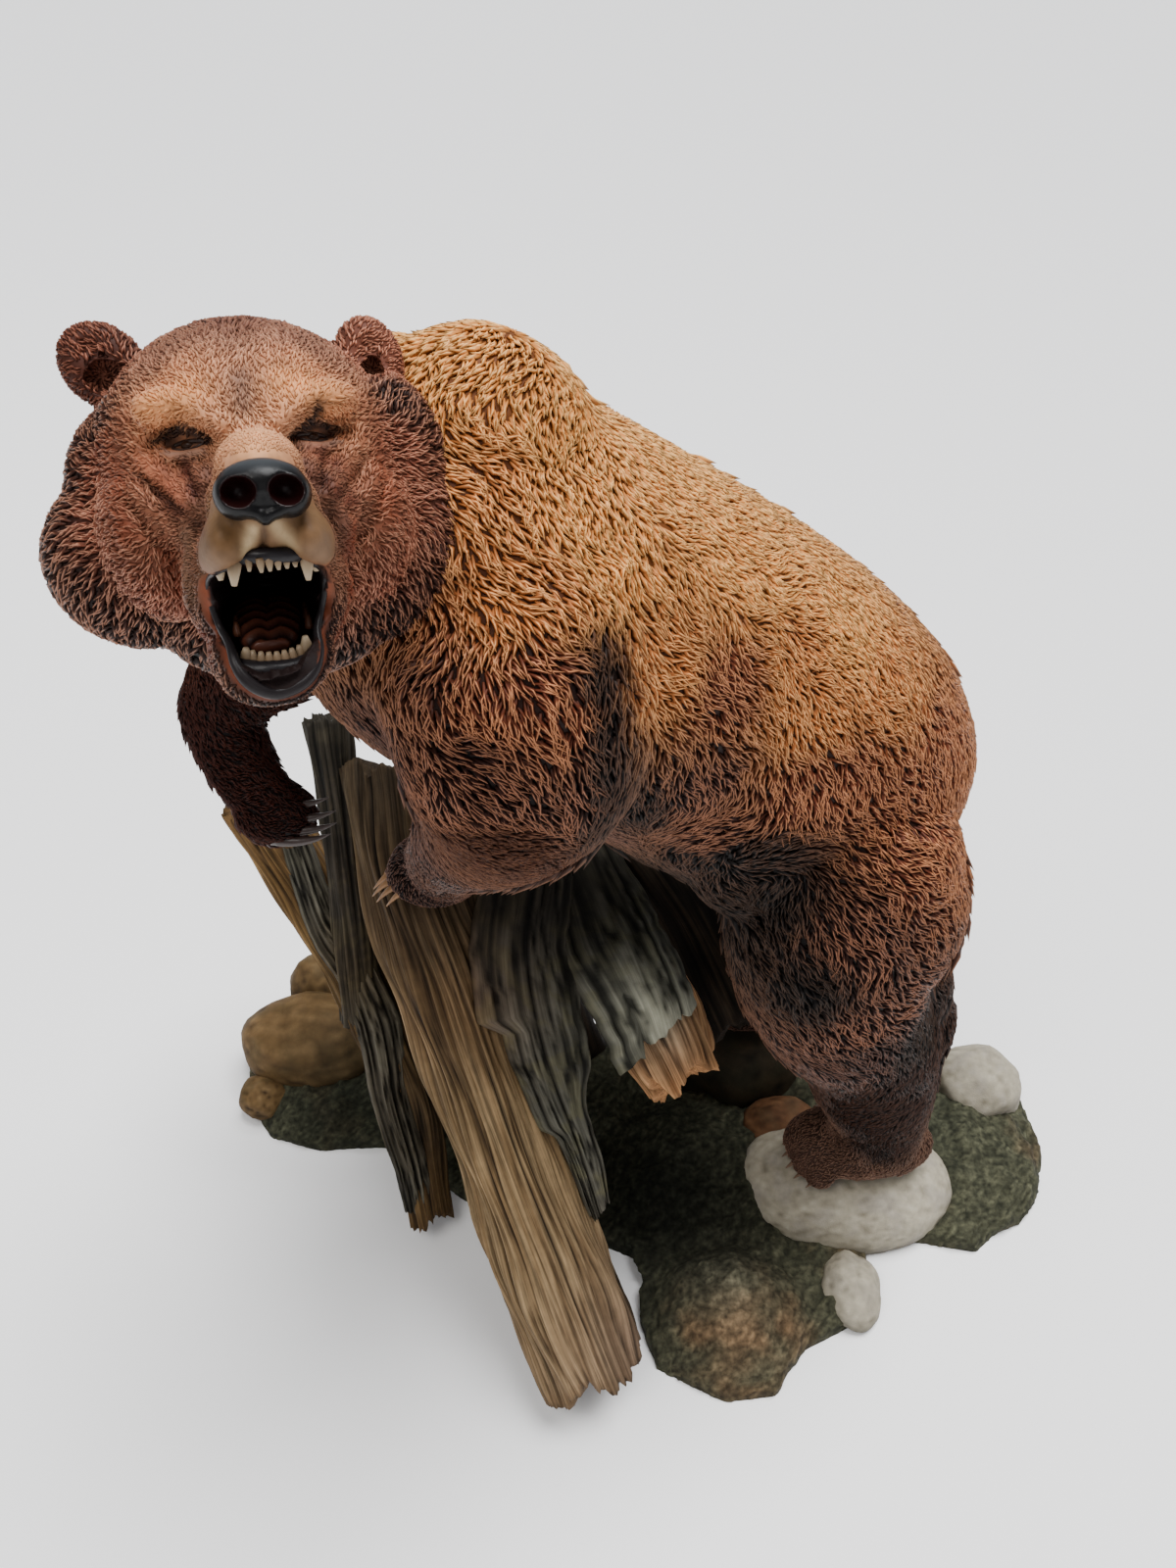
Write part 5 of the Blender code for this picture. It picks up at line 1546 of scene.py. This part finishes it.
# A slab's middle line in mm, with the width by which it bends and tears there, then a seed and
# how many points go across it.
SLABS = {
    "long_slab": (((-16, 21, 136, 13), (-19, 1, 119, 15), (-14, -18, 97, 14),
                   (-4, -33, 72, 9), (3, -45, 52, 5)), 1, 30),
    "short_slab": (((-4, 38, 135, 12), (4, 22, 124, 16), (13, 7, 111, 18),
                    (20, -4, 100, 17), (23, -10, 93, 15)), 2, 24),
    "left_slab": (((-96, 46, 121, 5), (-87, 30, 100, 6.5), (-77, 21, 87, 7), (-70, 11, 70, 7.5),
                   (-66, -4, 50, 7.5), (-60, -17, 32, 6.5), (-58, -23, 15, 4.5)), 3, 22),
}
BARK_THICKNESS = 2.3
# The wash in the grooves, the wood's own colour, the dry brush on the ridges, the broken end.
WOODS = charted({
    "golden wood": ((34, 25, 17), (112, 90, 62), (170, 145, 108), (120, 94, 64)),
    "orange wood": ((60, 38, 25), (158, 114, 76), (204, 158, 112), (188, 136, 90)),
    "olive wood": ((26, 19, 12), (84, 62, 36), (132, 104, 64), (96, 72, 44)),
    "dark wood": ((8, 7, 5), (26, 20, 14), (62, 50, 38), (40, 30, 22)),
    "grey wood": ((12, 11, 9), (40, 37, 30), (78, 74, 64), (48, 46, 40)),
    "bark": ((18, 17, 14), (60, 58, 50), (118, 116, 104), (74, 71, 62)),
})
LICHEN = chart(96, 92, 60)
# Darker, paler or greyer places: the middle in mm, the radius, the paint and how much of it.
WOOD_TINTS_AND_SHADOWS = (
    # The first three rows are painted shadow. They darken the long log's upper part under the bear's
    # chest.
    ((-52, 20, 126), 30, (44, 29, 19), 0.9), ((-40, -2, 100), 20, (76, 50, 30), 0.55),
    ((-59, 44, 152), 24, (38, 29, 20), 0.9), ((-81, 50, 160), 30, (42, 38, 31), 0.7),
    ((14, -70, 20), 30, (72, 58, 48), 0.85), ((-14, 16, 130), 24, (20, 15, 10), 0.9),
    ((2, 30, 128), 20, (34, 31, 26), 0.7), ((22, -8, 98), 15, (128, 127, 112), 0.75),
    ((-62, 2, 40), 34, (50, 43, 33), 0.7), ((-80, 26, 84), 18, (58, 46, 28), 0.6),
)
STONE_SHADES = (
    ((-94, 38, 14), 22, (46, 38, 23), 0.9), ((-108, 70, 20), 16, (60, 48, 30), 0.6),
    ((88, -46, 4), 14, (122, 116, 102), 0.8),
)
MOSS_TINTS_AND_SHADE = (
    # The first row is painted shade. It darkens the moss in the hollow under the logs.
    ((28, -18, 8), 38, (15, 17, 13), 0.92), ((50, -60, 14), 17, (92, 74, 54), 0.5),
    ((110, 20, 8), 30, (30, 34, 26), 0.6), ((44, -44, 14), 13, (82, 82, 68), 0.6),
    ((-92, 22, 6), 24, (20, 23, 16), 0.85),
)
print("logs:", len(LOGS), "slabs:", len(SLABS), "paints of the wood:", len(WOODS))


# %% Painting wood
def shaded(points, colours, shades):
    """The colours with wide patches laid over them, the things' own tints and painted shade alike, in
    which the light and dark of the relief stay.
    """
    for centre, radius, paint, strength in shades:
        cover = strength * np.exp(-(np.sum((points - centre) ** 2, axis=1) / radius**2))[:, None]
        relief = np.clip(colours.mean(axis=1) / colours.mean(), 0.3, 2.2)[:, None]
        colours = towards(colours, chart(*paint) * relief, cover)
    return colours


def ring_axes(way):
    """Across the log and up from it, for a log that runs that way."""
    across = unit(BARK - np.dot(BARK, way) * way)
    return across, np.cross(way, across)


def wood_noise(angles, along, seed, sharp, stretch):
    """Noise round a log whose humps are stretched along it, without a seam."""
    spots = ((math.cos(a) * sharp, math.sin(a) * sharp, s / stretch + seed * 9.1)
             for a, s in zip(angles, along))
    return np.array([noise.noise(Vector(spot)) for spot in spots])


def noise_grid(across, along, level):
    """Noise at every pair of a place across and a place along, one row for each along."""
    return np.array([[noise.noise(Vector((a, b, level))) for a in across] for b in along])


def crease(depth, values, width):
    """A groove of that depth wherever the noise changes its sign, as wide as is given in noise."""
    return depth * np.clip(width - np.abs(values), 0, 1) / width


def paint_wood(obj, paints, height, ends, along, lichen=0.0, seed=0):
    """Dark in the grooves and pale on the ridges, with the fresh colour at a broken end."""
    high = np.clip(height, -1, 1)[:, None]
    colours = towards(paints[1], paints[2], np.clip(high, 0, 1) ** 1.3)
    colours = towards(colours, paints[0], np.clip(-high * 1.25, 0, 1))
    fresh = (paints[3] - colours) * np.clip(ends, 0, 1)[:, None]
    colours = colours + fresh * np.clip(0.6 + 0.5 * high, 0, 1)
    points = points_of(obj) / MM
    colours = colours * (1 + 0.3 * noise_at(points, 16, seed + 3)[:, None])
    if lichen:
        spots = noise_at(points, 6.5, seed + 6) + 0.5 * noise_at(points, 2.2, seed + 7)
        cover = np.clip((spots - 0.06) * 5, 0, 1)[:, None] * lichen * np.clip(0.55 + 0.6 * high, 0, 1)
        colours = towards(colours, LICHEN * (0.7 + 0.5 * np.clip(high, 0, 1)), cover)
    brushed(obj, np.clip(shaded(points, colours, WOOD_TINTS_AND_SHADOWS), 0, 1))
    layer = obj.data.attributes.new("grain", "FLOAT_VECTOR", "POINT")
    layer.data.foreach_set("vector", along.astype(np.float32).ravel())
    return obj


# %% A log
# Each cap is drawn in from the rim of the torn end in rings of these shares.
CAP_SHARES = (0.82, 0.62, 0.42, 0.22, 0.06)


def weathered_log(name, line, half, thick, foot, cuts, seed, around, count, wood):
    """A log whose first end is `foot` times as thick as its last."""
    shares = np.linspace(foot, 1, len(line))
    widths = [share * (1 + 0.08 * math.sin(3 * i + seed)) for i, share in enumerate(shares)]
    rows = through([[*place, width] for place, width in zip(line, widths)], 24)
    steps = np.concatenate([[0], np.cumsum(np.linalg.norm(np.diff(rows[:, :3], axis=0), axis=1))])
    marks = np.linspace(0, steps[-1], count)
    rows = np.column_stack([np.interp(marks, steps, rows[:, k]) for k in range(4)])
    ways = unit(np.gradient(rows[:, :3], axis=0))
    dice = np.random.default_rng(seed)
    groove = 1 - 0.22 * dice.random(cuts) * (np.arange(cuts) % 2)
    torn = dice.uniform(-1, 1, (2, cuts)) * half * 0.25
    angles = 2 * math.pi * np.arange(around) / around
    corners = np.arange(cuts + 1) * 2 * math.pi / cuts
    outline = np.interp(angles, corners, np.append(groove, groove[0]))
    level = angles * 0
    splinters = []
    for i, t in enumerate(torn):
        ragged = np.interp(angles, corners, np.append(t, t[0]))
        ragged = ragged + 2.6 * wood_noise(angles, level, seed + 20 + i, 7, 1)
        splinters.append(ragged + 1.6 * wood_noise(angles, level, seed + 30 + i, 16, 1))
    every_angle, every_mark = np.tile(angles, count), np.repeat(marks, around)
    large = wood_noise(every_angle, every_mark, seed, 3.2, 55)
    middle = wood_noise(every_angle, every_mark, seed + 1, 6.0, 90)
    small = wood_noise(every_angle, every_mark, seed + 2, 13, 55)
    relief = 0.9 * large - crease(1.3, middle, 0.22) + 0.35 * middle
    relief -= crease(0.55, small, 0.2)
    height = 0.35 * large + 0.55 - crease(1.0, middle, 0.2) - crease(0.6, small, 0.16)
    relief = relief.reshape(count, around) * min(1.0, thick / 12)
    cosines, sines = np.cos(angles), np.sin(angles)
    points, grain = [], []
    for i, (row, way, mark) in enumerate(zip(rows, ways, marks)):
        across, up = ring_axes(way)
        out = outline * (1 + 0.05 * np.sin(angles / (2 * math.pi) * cuts * 1.7 + i * 0.2))
        wide, high = (size * row[3] * out + relief[i] - 0.3 for size in (half, thick))
        ring = row[:3] + (wide * cosines)[:, None] * across + (high * sines)[:, None] * up
        for torn_by, left in zip(splinters, (mark, marks[-1] - mark)):
            ring = ring + way * (torn_by * np.clip(1 - left / 11, 0, 1) ** 2)[:, None]
        points.append(ring)
        depth = np.full(around, mark * 0.03)
        grain.append(np.column_stack([cosines * half, sines * half, depth]))
    caps = []
    for end, outwards in ((0, -ways[0]), (count - 1, ways[-1])):
        edge = points[end]
        centre = edge.mean(0)
        for share in CAP_SHARES:
            rough = 2.2 * wood_noise(angles, level + share * 9, seed + 40 + end, 6, 1.0)
            inset = (1 - share) * 1.6 + rough * share
            caps.append(centre + (edge - centre) * share - outwards * inset[:, None])
    faces = [ring_faces(i, i + 1, around) for i in range(count - 1)]
    for first, start in ((0, count), (count - 1, count + len(CAP_SHARES))):
        chain = [first, *range(start, start + len(CAP_SHARES))]
        for a, b in zip(chain[:-1], chain[1:]):
            band = ring_faces(a, b, around)
            faces.append(band if first else band[:, ::-1])
    obj = closed_up(mesh_piece(name, np.vstack(points + caps) * MM, np.vstack(faces)))
    from_end = np.minimum(every_mark, marks[-1] - every_mark)
    ends = np.concatenate([np.clip(1 - from_end / 5, 0, 0.7), np.ones(len(caps) * around)])
    ragged = [0.9 * wood_noise(angles, level + k * 2.0, seed + 50, 9, 1.0) for k in range(len(caps))]
    lichen = 0.25 if wood == "grey wood" else 0.0
    along = np.vstack(grain + caps)
    return paint_wood(obj, WOODS[wood], np.concatenate([height, *ragged]), ends, along, lichen, seed)


# %% A slab of bark
def bark_slab(name, rows, seed, across):
    """A torn strip of bark. Its rim is jagged, and cracks run up it from the lower end."""
    rows = through(rows, 18)
    count = len(rows)
    ways = unit(np.gradient(rows[:, :3], axis=0))
    shares = np.linspace(-1, 1, across)
    marks = np.concatenate([[0], np.cumsum(np.linalg.norm(np.diff(rows[:, :3], axis=0), axis=1))])
    rough = noise_grid(shares * 4 + seed * 5, marks / 30, seed)
    fine = noise_grid(shares * 13 + seed * 5, marks / 18, seed + 4)
    rim = noise_grid((-9, 9), marks / 15, seed + 8) + 0.3 * noise_grid((-9, 9), marks / 4, seed + 9)
    dice = np.random.default_rng(seed)
    strips = np.sort(dice.uniform(-0.9, 0.9, 4))
    strip = np.searchsorted(strips, shares)
    tip = np.array([dice.uniform(-1, 1, 5)[strip] for _ in range(2)])
    tip = tip + 0.5 * noise_grid(shares * 9, (0, 7), seed + 13)
    seam = np.clip(1 - np.min(np.abs(shares[:, None] - strips), axis=1) * across / 2.2, 0, 1)
    top, under = [], []
    for i, (row, way) in enumerate(zip(rows, ways)):
        side = unit(BARK - np.dot(BARK, way) * way)
        up = np.cross(side, way)
        up = up if up[2] > 0 else -up
        reach = [np.interp(marks[i] / marks[-1], *zip(*line)) for line in SLAB_RIMS[name]]
        jagged = 1 + 0.12 * np.where(shares < 0, *rim[i]) * np.abs(shares)
        half = np.where(shares < 0, *reach) * jagged
        place = row[:3] + (shares * half)[:, None] * side - (0.35 * row[3] * shares**2)[:, None] * up
        for end, left in ((0, marks[i]), (1, marks[-1] - marks[i])):
            torn = tip[end] * 0.3 - 0.4 * shares * end
            torn = torn * row[3] * np.clip(1 - left / (1.6 * row[3]), 0, 1) ** 1.5
            place = place + way * torn[:, None]
        thin = 1 - 0.55 * np.abs(shares) ** 6
        split = seam * (0.4 + 0.6 * marks[i] / marks[-1])
        rise = BARK_THICKNESS * (0.75 * thin) + 0.5 * rough[i] - 0.9 * crease(1, rough[i], 0.16)
        rise = rise - 1.6 * split - crease(0.4, fine[i], 0.16)
        top.append(place + rise[:, None] * up)
        under.append(place - (BARK_THICKNESS * thin)[:, None] * up)
    points = np.vstack(top + under)
    grid = np.arange(count * across).reshape(count, across)
    corners = (grid[:-1, :-1], grid[:-1, 1:], grid[1:, 1:], grid[1:, :-1])
    upper = np.column_stack([corner.ravel() for corner in corners])
    edge = np.concatenate([grid[0, :], grid[1:, -1], grid[-1, -2::-1], grid[-2:0:-1, 0]])
    after = np.roll(edge, -1)
    below = count * across
    faces = [upper, upper[:, ::-1] + below, np.column_stack([after, edge, edge + below, after + below])]
    obj = closed_up(mesh_piece(name, points * MM, np.vstack(faces)), fill=False)
    bpy.ops.object.shade_smooth_by_angle(angle=math.radians(50))
    height = 0.4 + 0.3 * rough - 1.3 * seam - crease(1.1, rough, 0.14) - crease(0.45, fine, 0.14)
    height = height.ravel()
    flat = np.column_stack([
        np.tile(shares * 12, count), np.full(below, seed * 3.0), np.repeat(marks * 0.02, across),
    ])
    rim_share = np.tile(np.clip(np.abs(shares) * 6 - 5.2, 0, 0.6), count)
    lichen = 0.5 if name != "left_slab" else 0.1
    return paint_wood(obj, WOODS["bark"], np.concatenate([height, height - 0.4]),
                      np.tile(rim_share, 2), np.vstack([flat, flat]), lichen, seed)


# %% The logs and the slabs
logs = [weathered_log(name, *row) for name, row in LOGS.items()]
slabs = [bark_slab(name, *row) for name, row in SLABS.items()]
print("logs and slabs:", {o.name: triangles_of(o) for o in logs + slabs})

# %% [markdown]
# ## The stones and the moss
# A stone is a ball that is stretched, dented a little by wide noise and pitted by fine noise.
# The moss is a plate with a wandering outline, extruded from a drawn plan, with mounds fused
# onto it. Its top is crumbled by four sizes of noise, and its underside is cut flat.

# %% Stones
# A stone's middle and radii in mm, a seed, how deep its dents are, how fine it is and its paint.
STONES = {
    "hind_stone": ((92, -8, 6), (39, 25, 18), 3, 0.05, 5, "pale stone"),
    "far_rock": ((58, 45, 10), (29, 21, 26), 11, 0.16, 4, "dark stone"),
    "small_stone": ((88, -46, 4), (10, 13, 8), 5, 0.12, 4, "pale stone"),
    "rear_stone": ((150, 33, 8), (17, 16, 13), 6, 0.12, 4, "pale stone"),
    "back_stone": ((112, 52, 8), (20, 15, 15), 9, 0.12, 4, "pale stone"),
    "brown_stone": ((72, 14, 9), (15, 11, 9), 12, 0.12, 4, "brown stone"),
    "left_stone": ((-107, 48, 15), (28, 20, 16), 7, 0.12, 4, "tan stone"),
    "top_stone": ((-108, 74, 17), (14, 12, 15), 8, 0.12, 4, "tan stone"),
    "low_stone": ((-124, 28, 7), (9, 9, 8), 10, 0.12, 4, "tan stone"),
}
# The dark of the pits, the stone's colour, its pale dry brush, and the colour of its patches.
STONE_PAINTS = charted({
    "pale stone": ((108, 101, 86), (150, 143, 126), (182, 175, 158), (130, 124, 118)),
    "tan stone": ((44, 32, 18), (98, 76, 48), (146, 120, 84), (58, 52, 32)),
    "dark stone": ((12, 11, 8), (40, 34, 24), (74, 60, 42), (28, 32, 22)),
    "brown stone": ((44, 28, 18), (88, 60, 40), (128, 94, 66), (54, 48, 34)),
})


def worn_stone(name, centre, radii, seed, rough, detail, paint):
    obj = ball(name, (0, 0, 0), (1, 1, 1), detail=detail)
    ways = unit(points_of(obj))
    dents = np.array([noise.noise(Vector(w) * 1.6 + Vector((seed, 0, 0))) for w in ways])
    points = np.array(centre) + ways * np.array(radii) * (1 + rough * dents)[:, None]
    pits = noise_at(points, 2.6, seed)
    grit = noise_at(points, 1.1, seed + 1)
    points = points + ways * (0.28 * pits + 0.16 * grit)[:, None]
    layers = STONE_PAINTS[paint]
    patch = np.clip((noise_at(points, 8, seed + 2) + 0.4 * pits - 0.05) * 4, 0, 1)[:, None]
    light = np.clip(0.5 + 0.6 * pits + 0.4 * grit, 0, 1)[:, None]
    colours = towards(layers[0], layers[1], np.clip(light * 2.6, 0, 1))
    colours = towards(colours, layers[2], np.clip(light - 0.5, 0, 1))
    colours = colours + (layers[3] - colours) * patch * 0.4
    shadow = np.clip(0.45 + (points[:, 2:3] - 2) / 9, 0.4, 1)
    brushed(obj, shaded(points, colours * shadow, STONE_SHADES))
    return smoothed(set_points(obj, points * MM))


stones = [worn_stone(name, *row) for name, row in STONES.items()]
print("stones:", len(stones), "with", sum(triangles_of(o) for o in stones), "triangles")

# %% The plan of the ground
MOSS_VOXEL = 1.7
GROUND_THICKNESS = 6.0
GROUND_MIDDLE = (5, 12)
# How far up the outline is drawn in thicknesses, and how much narrower it gets, three times.
GROUND_STEPS = ((1.5, 1.0), (0.5, 0.95), (0.2, 0.526))
GROUND_OUTLINE = (
    (-131, 29), (-120, 14), (-99, 9), (-75, 10), (-58, -2), (-44, -12), (-10, -22),
    (20, -35), (17, -55), (22, -70), (43, -80), (60, -78), (66, -66), (90, -55),
    (96, -42), (96, -30), (112, -27), (135, -31), (150, -18), (168, 2), (169, 14),
    (168, 32), (148, 46), (120, 66), (90, 68), (60, 68), (30, 64), (0, 62),
    (-30, 68), (-60, 76), (-90, 86), (-112, 86), (-130, 70), (-136, 50),
)
MOUNDS = (
    ((46, -54, 2), (27, 24, 13)), ((38, 0, 2), (38, 34, 12)), ((136, 4, 2), (30, 30, 12)),
    ((96, 44, 2), (44, 22, 14)), ((-98, 44, 2), (34, 36, 12)), ((-30, 34, 2), (60, 34, 22)),
)
# Bumps of the moss: their height and their width.
MOSS_BUMPS = ((2.8, 9.1), (1.2, 3.3))
DARK_GREEN, PALE_GREEN = chart(20, 22, 17), chart(82, 82, 64)
DARK_EARTH, PALE_EARTH = chart(38, 30, 22), chart(116, 92, 66)
print("corners of the plan:", len(GROUND_OUTLINE), "mounds:", len(MOUNDS))

# %% The moss
plan = bpy.data.meshes.new("moss plan")
corners = [(x * MM, y * MM, -GROUND_THICKNESS * MM) for x, y in GROUND_OUTLINE]
plan.from_pydata(corners, [(i, (i + 1) % len(corners)) for i in range(len(corners))], [])
plate = bpy.data.objects.new("plate", plan)
bpy.context.scene.collection.objects.link(plate)
only(plate)
bpy.ops.object.mode_set(mode="EDIT")
bpy.ops.mesh.select_all(action="SELECT")
bpy.ops.mesh.edge_face_add()
pivot = (GROUND_MIDDLE[0] * MM, GROUND_MIDDLE[1] * MM, 0)
for rise, shrink in GROUND_STEPS:
    up = (0, 0, rise * GROUND_THICKNESS * MM)
    bpy.ops.mesh.extrude_region_move(TRANSFORM_OT_translate={"value": up})
    bpy.ops.transform.resize(value=(shrink, shrink, 1), center_override=pivot)
bpy.ops.mesh.select_all(action="SELECT")
bpy.ops.mesh.normals_make_consistent(inside=False)
bpy.ops.object.mode_set(mode="OBJECT")

moss = fused("moss", [plate] + [ball("mound", c, r) for c, r in MOUNDS], MOSS_VOXEL, 3)
points = points_of(moss) / MM
outward = points_of(moss, "normal")
upper = points[:, 2] > 0
bumps = sum(high * noise_at(points, wide) for high, wide in MOSS_BUMPS)
points[:, 2] += np.where(upper, bumps, 0)
crumbs = np.abs(noise_at(points, 1.9, 3)) * 0.9 - 0.3 + 0.35 * noise_at(points, 1.2, 4)
points += outward * (np.where(upper, crumbs, 0))[:, None]
set_points(moss, points * MM)
bpy.ops.mesh.primitive_cube_add(size=1, location=(0, 0, -0.5))
cut_out(moss, bpy.context.object)
points = points_of(moss) / MM
tuft = noise_at(points, 1.9, 3)
patch = np.clip((noise_at(points, 24, 9) + 0.4 * noise_at(points, 6, 8)) * 1.6 - 0.35, 0, 1)
front = np.clip(1.3 - np.linalg.norm((points - (50, -62, 8)) / (22, 20, 14), axis=1), 0, 1) * 1.6
earth = np.clip(patch * 0.5 + front * np.clip(0.4 + 1.4 * noise_at(points, 8, 5), 0, 1), 0, 1)[:, None]
pale = np.clip(np.abs(tuft) * 1.4 + 0.16, 0, 1)[:, None]
green = towards(DARK_GREEN, PALE_GREEN, pale)
brown = towards(DARK_EARTH, PALE_EARTH, pale)
brushed(moss, shaded(points, towards(green, brown, earth), MOSS_TINTS_AND_SHADE))
smoothed(moss)
bpy.ops.object.shade_smooth_by_angle(angle=math.radians(60))
print("moss:", triangles_of(moss), "triangles")

# %% [markdown]
# ## The base's paint
# Wood, bark, stones and moss were painted matt, and their colours lie on the vertices too. Old
# wood has fibres that are finer than the mesh. So its material draws thin dark lines, from noise
# in the layer "grain", whose third number runs slowly along the log and so draws the lines out.

# %% Finishes of the base
def wood_finish(name, roughness, lines=0.58):
    """The colours on the vertices, with fine dark lines along the grain."""
    made = brushed_finish(name, roughness, mottle=0.1, scale=300, grain=0.2)
    fibres = added(made, "TexNoise", {
        "Vector": layer_of(made, "grain", "Vector"), "Scale": 1.1, "Detail": 5.0, "Roughness": 0.65,
    }).outputs["Fac"]
    level = added(made, "MapRange", {
        "Value": fibres, "From Min": 0.36, "From Max": 0.6, "To Min": 1 - lines, "To Max": 1.22,
    })
    colour = source_of(made, "Base Color").outputs["Vector"]
    bump = added(made, "Bump", {
        "Height": fibres, "Normal": source_of(made, "Normal").outputs["Normal"],
        "Strength": 0.5, "Distance": 0.0005,
    })
    feed(made, made.node_tree.nodes["Principled BSDF"], {
        "Base Color": times(made, colour, level.outputs["Result"]), "Normal": bump.outputs["Normal"],
    })
    return made


driftwood_finish = wood_finish("driftwood", 0.72)
bark_finish = wood_finish("bark", 0.75, lines=0.3)
stone_finish = brushed_finish("stone", 0.7, mottle=0.14, scale=420, grain=0.35)
moss_finish = brushed_finish("moss", 0.85, mottle=0.45, scale=650, grain=0.5)
base_pieces = finished({
    driftwood_finish: logs, bark_finish: slabs, stone_finish: stones, moss_finish: [moss],
})

# %% The flat underside
cut_pieces = [piece for piece in base_pieces if piece is not moss and points_of(piece)[:, 2].min() < 0]
for piece in cut_pieces:
    only(piece)
    bpy.ops.object.mode_set(mode="EDIT")
    bpy.ops.mesh.select_all(action="SELECT")
    bpy.ops.mesh.bisect(plane_co=(0, 0, 0), plane_no=(0, 0, 1), use_fill=True, clear_inner=True)
    bpy.ops.object.mode_set(mode="OBJECT")
print("cut flat underneath:", [piece.name for piece in cut_pieces])

# %% [markdown]
# ## Into the frame
# Nothing on the statue moves, so every piece rides on the one body. The body's skin takes the
# place of the imported bear, and the moss that of the imported base.

# %% Bodies and nodes
for node, pieces in (("bear", bear_pieces), ("base", base_pieces)):
    for piece in pieces:
        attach(piece, "root")
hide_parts("bear")
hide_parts("base")
total = sum(triangles_of(piece) for piece in bear_pieces + base_pieces)
print("pieces:", len(bear_pieces) + len(base_pieces), "triangles:", total)
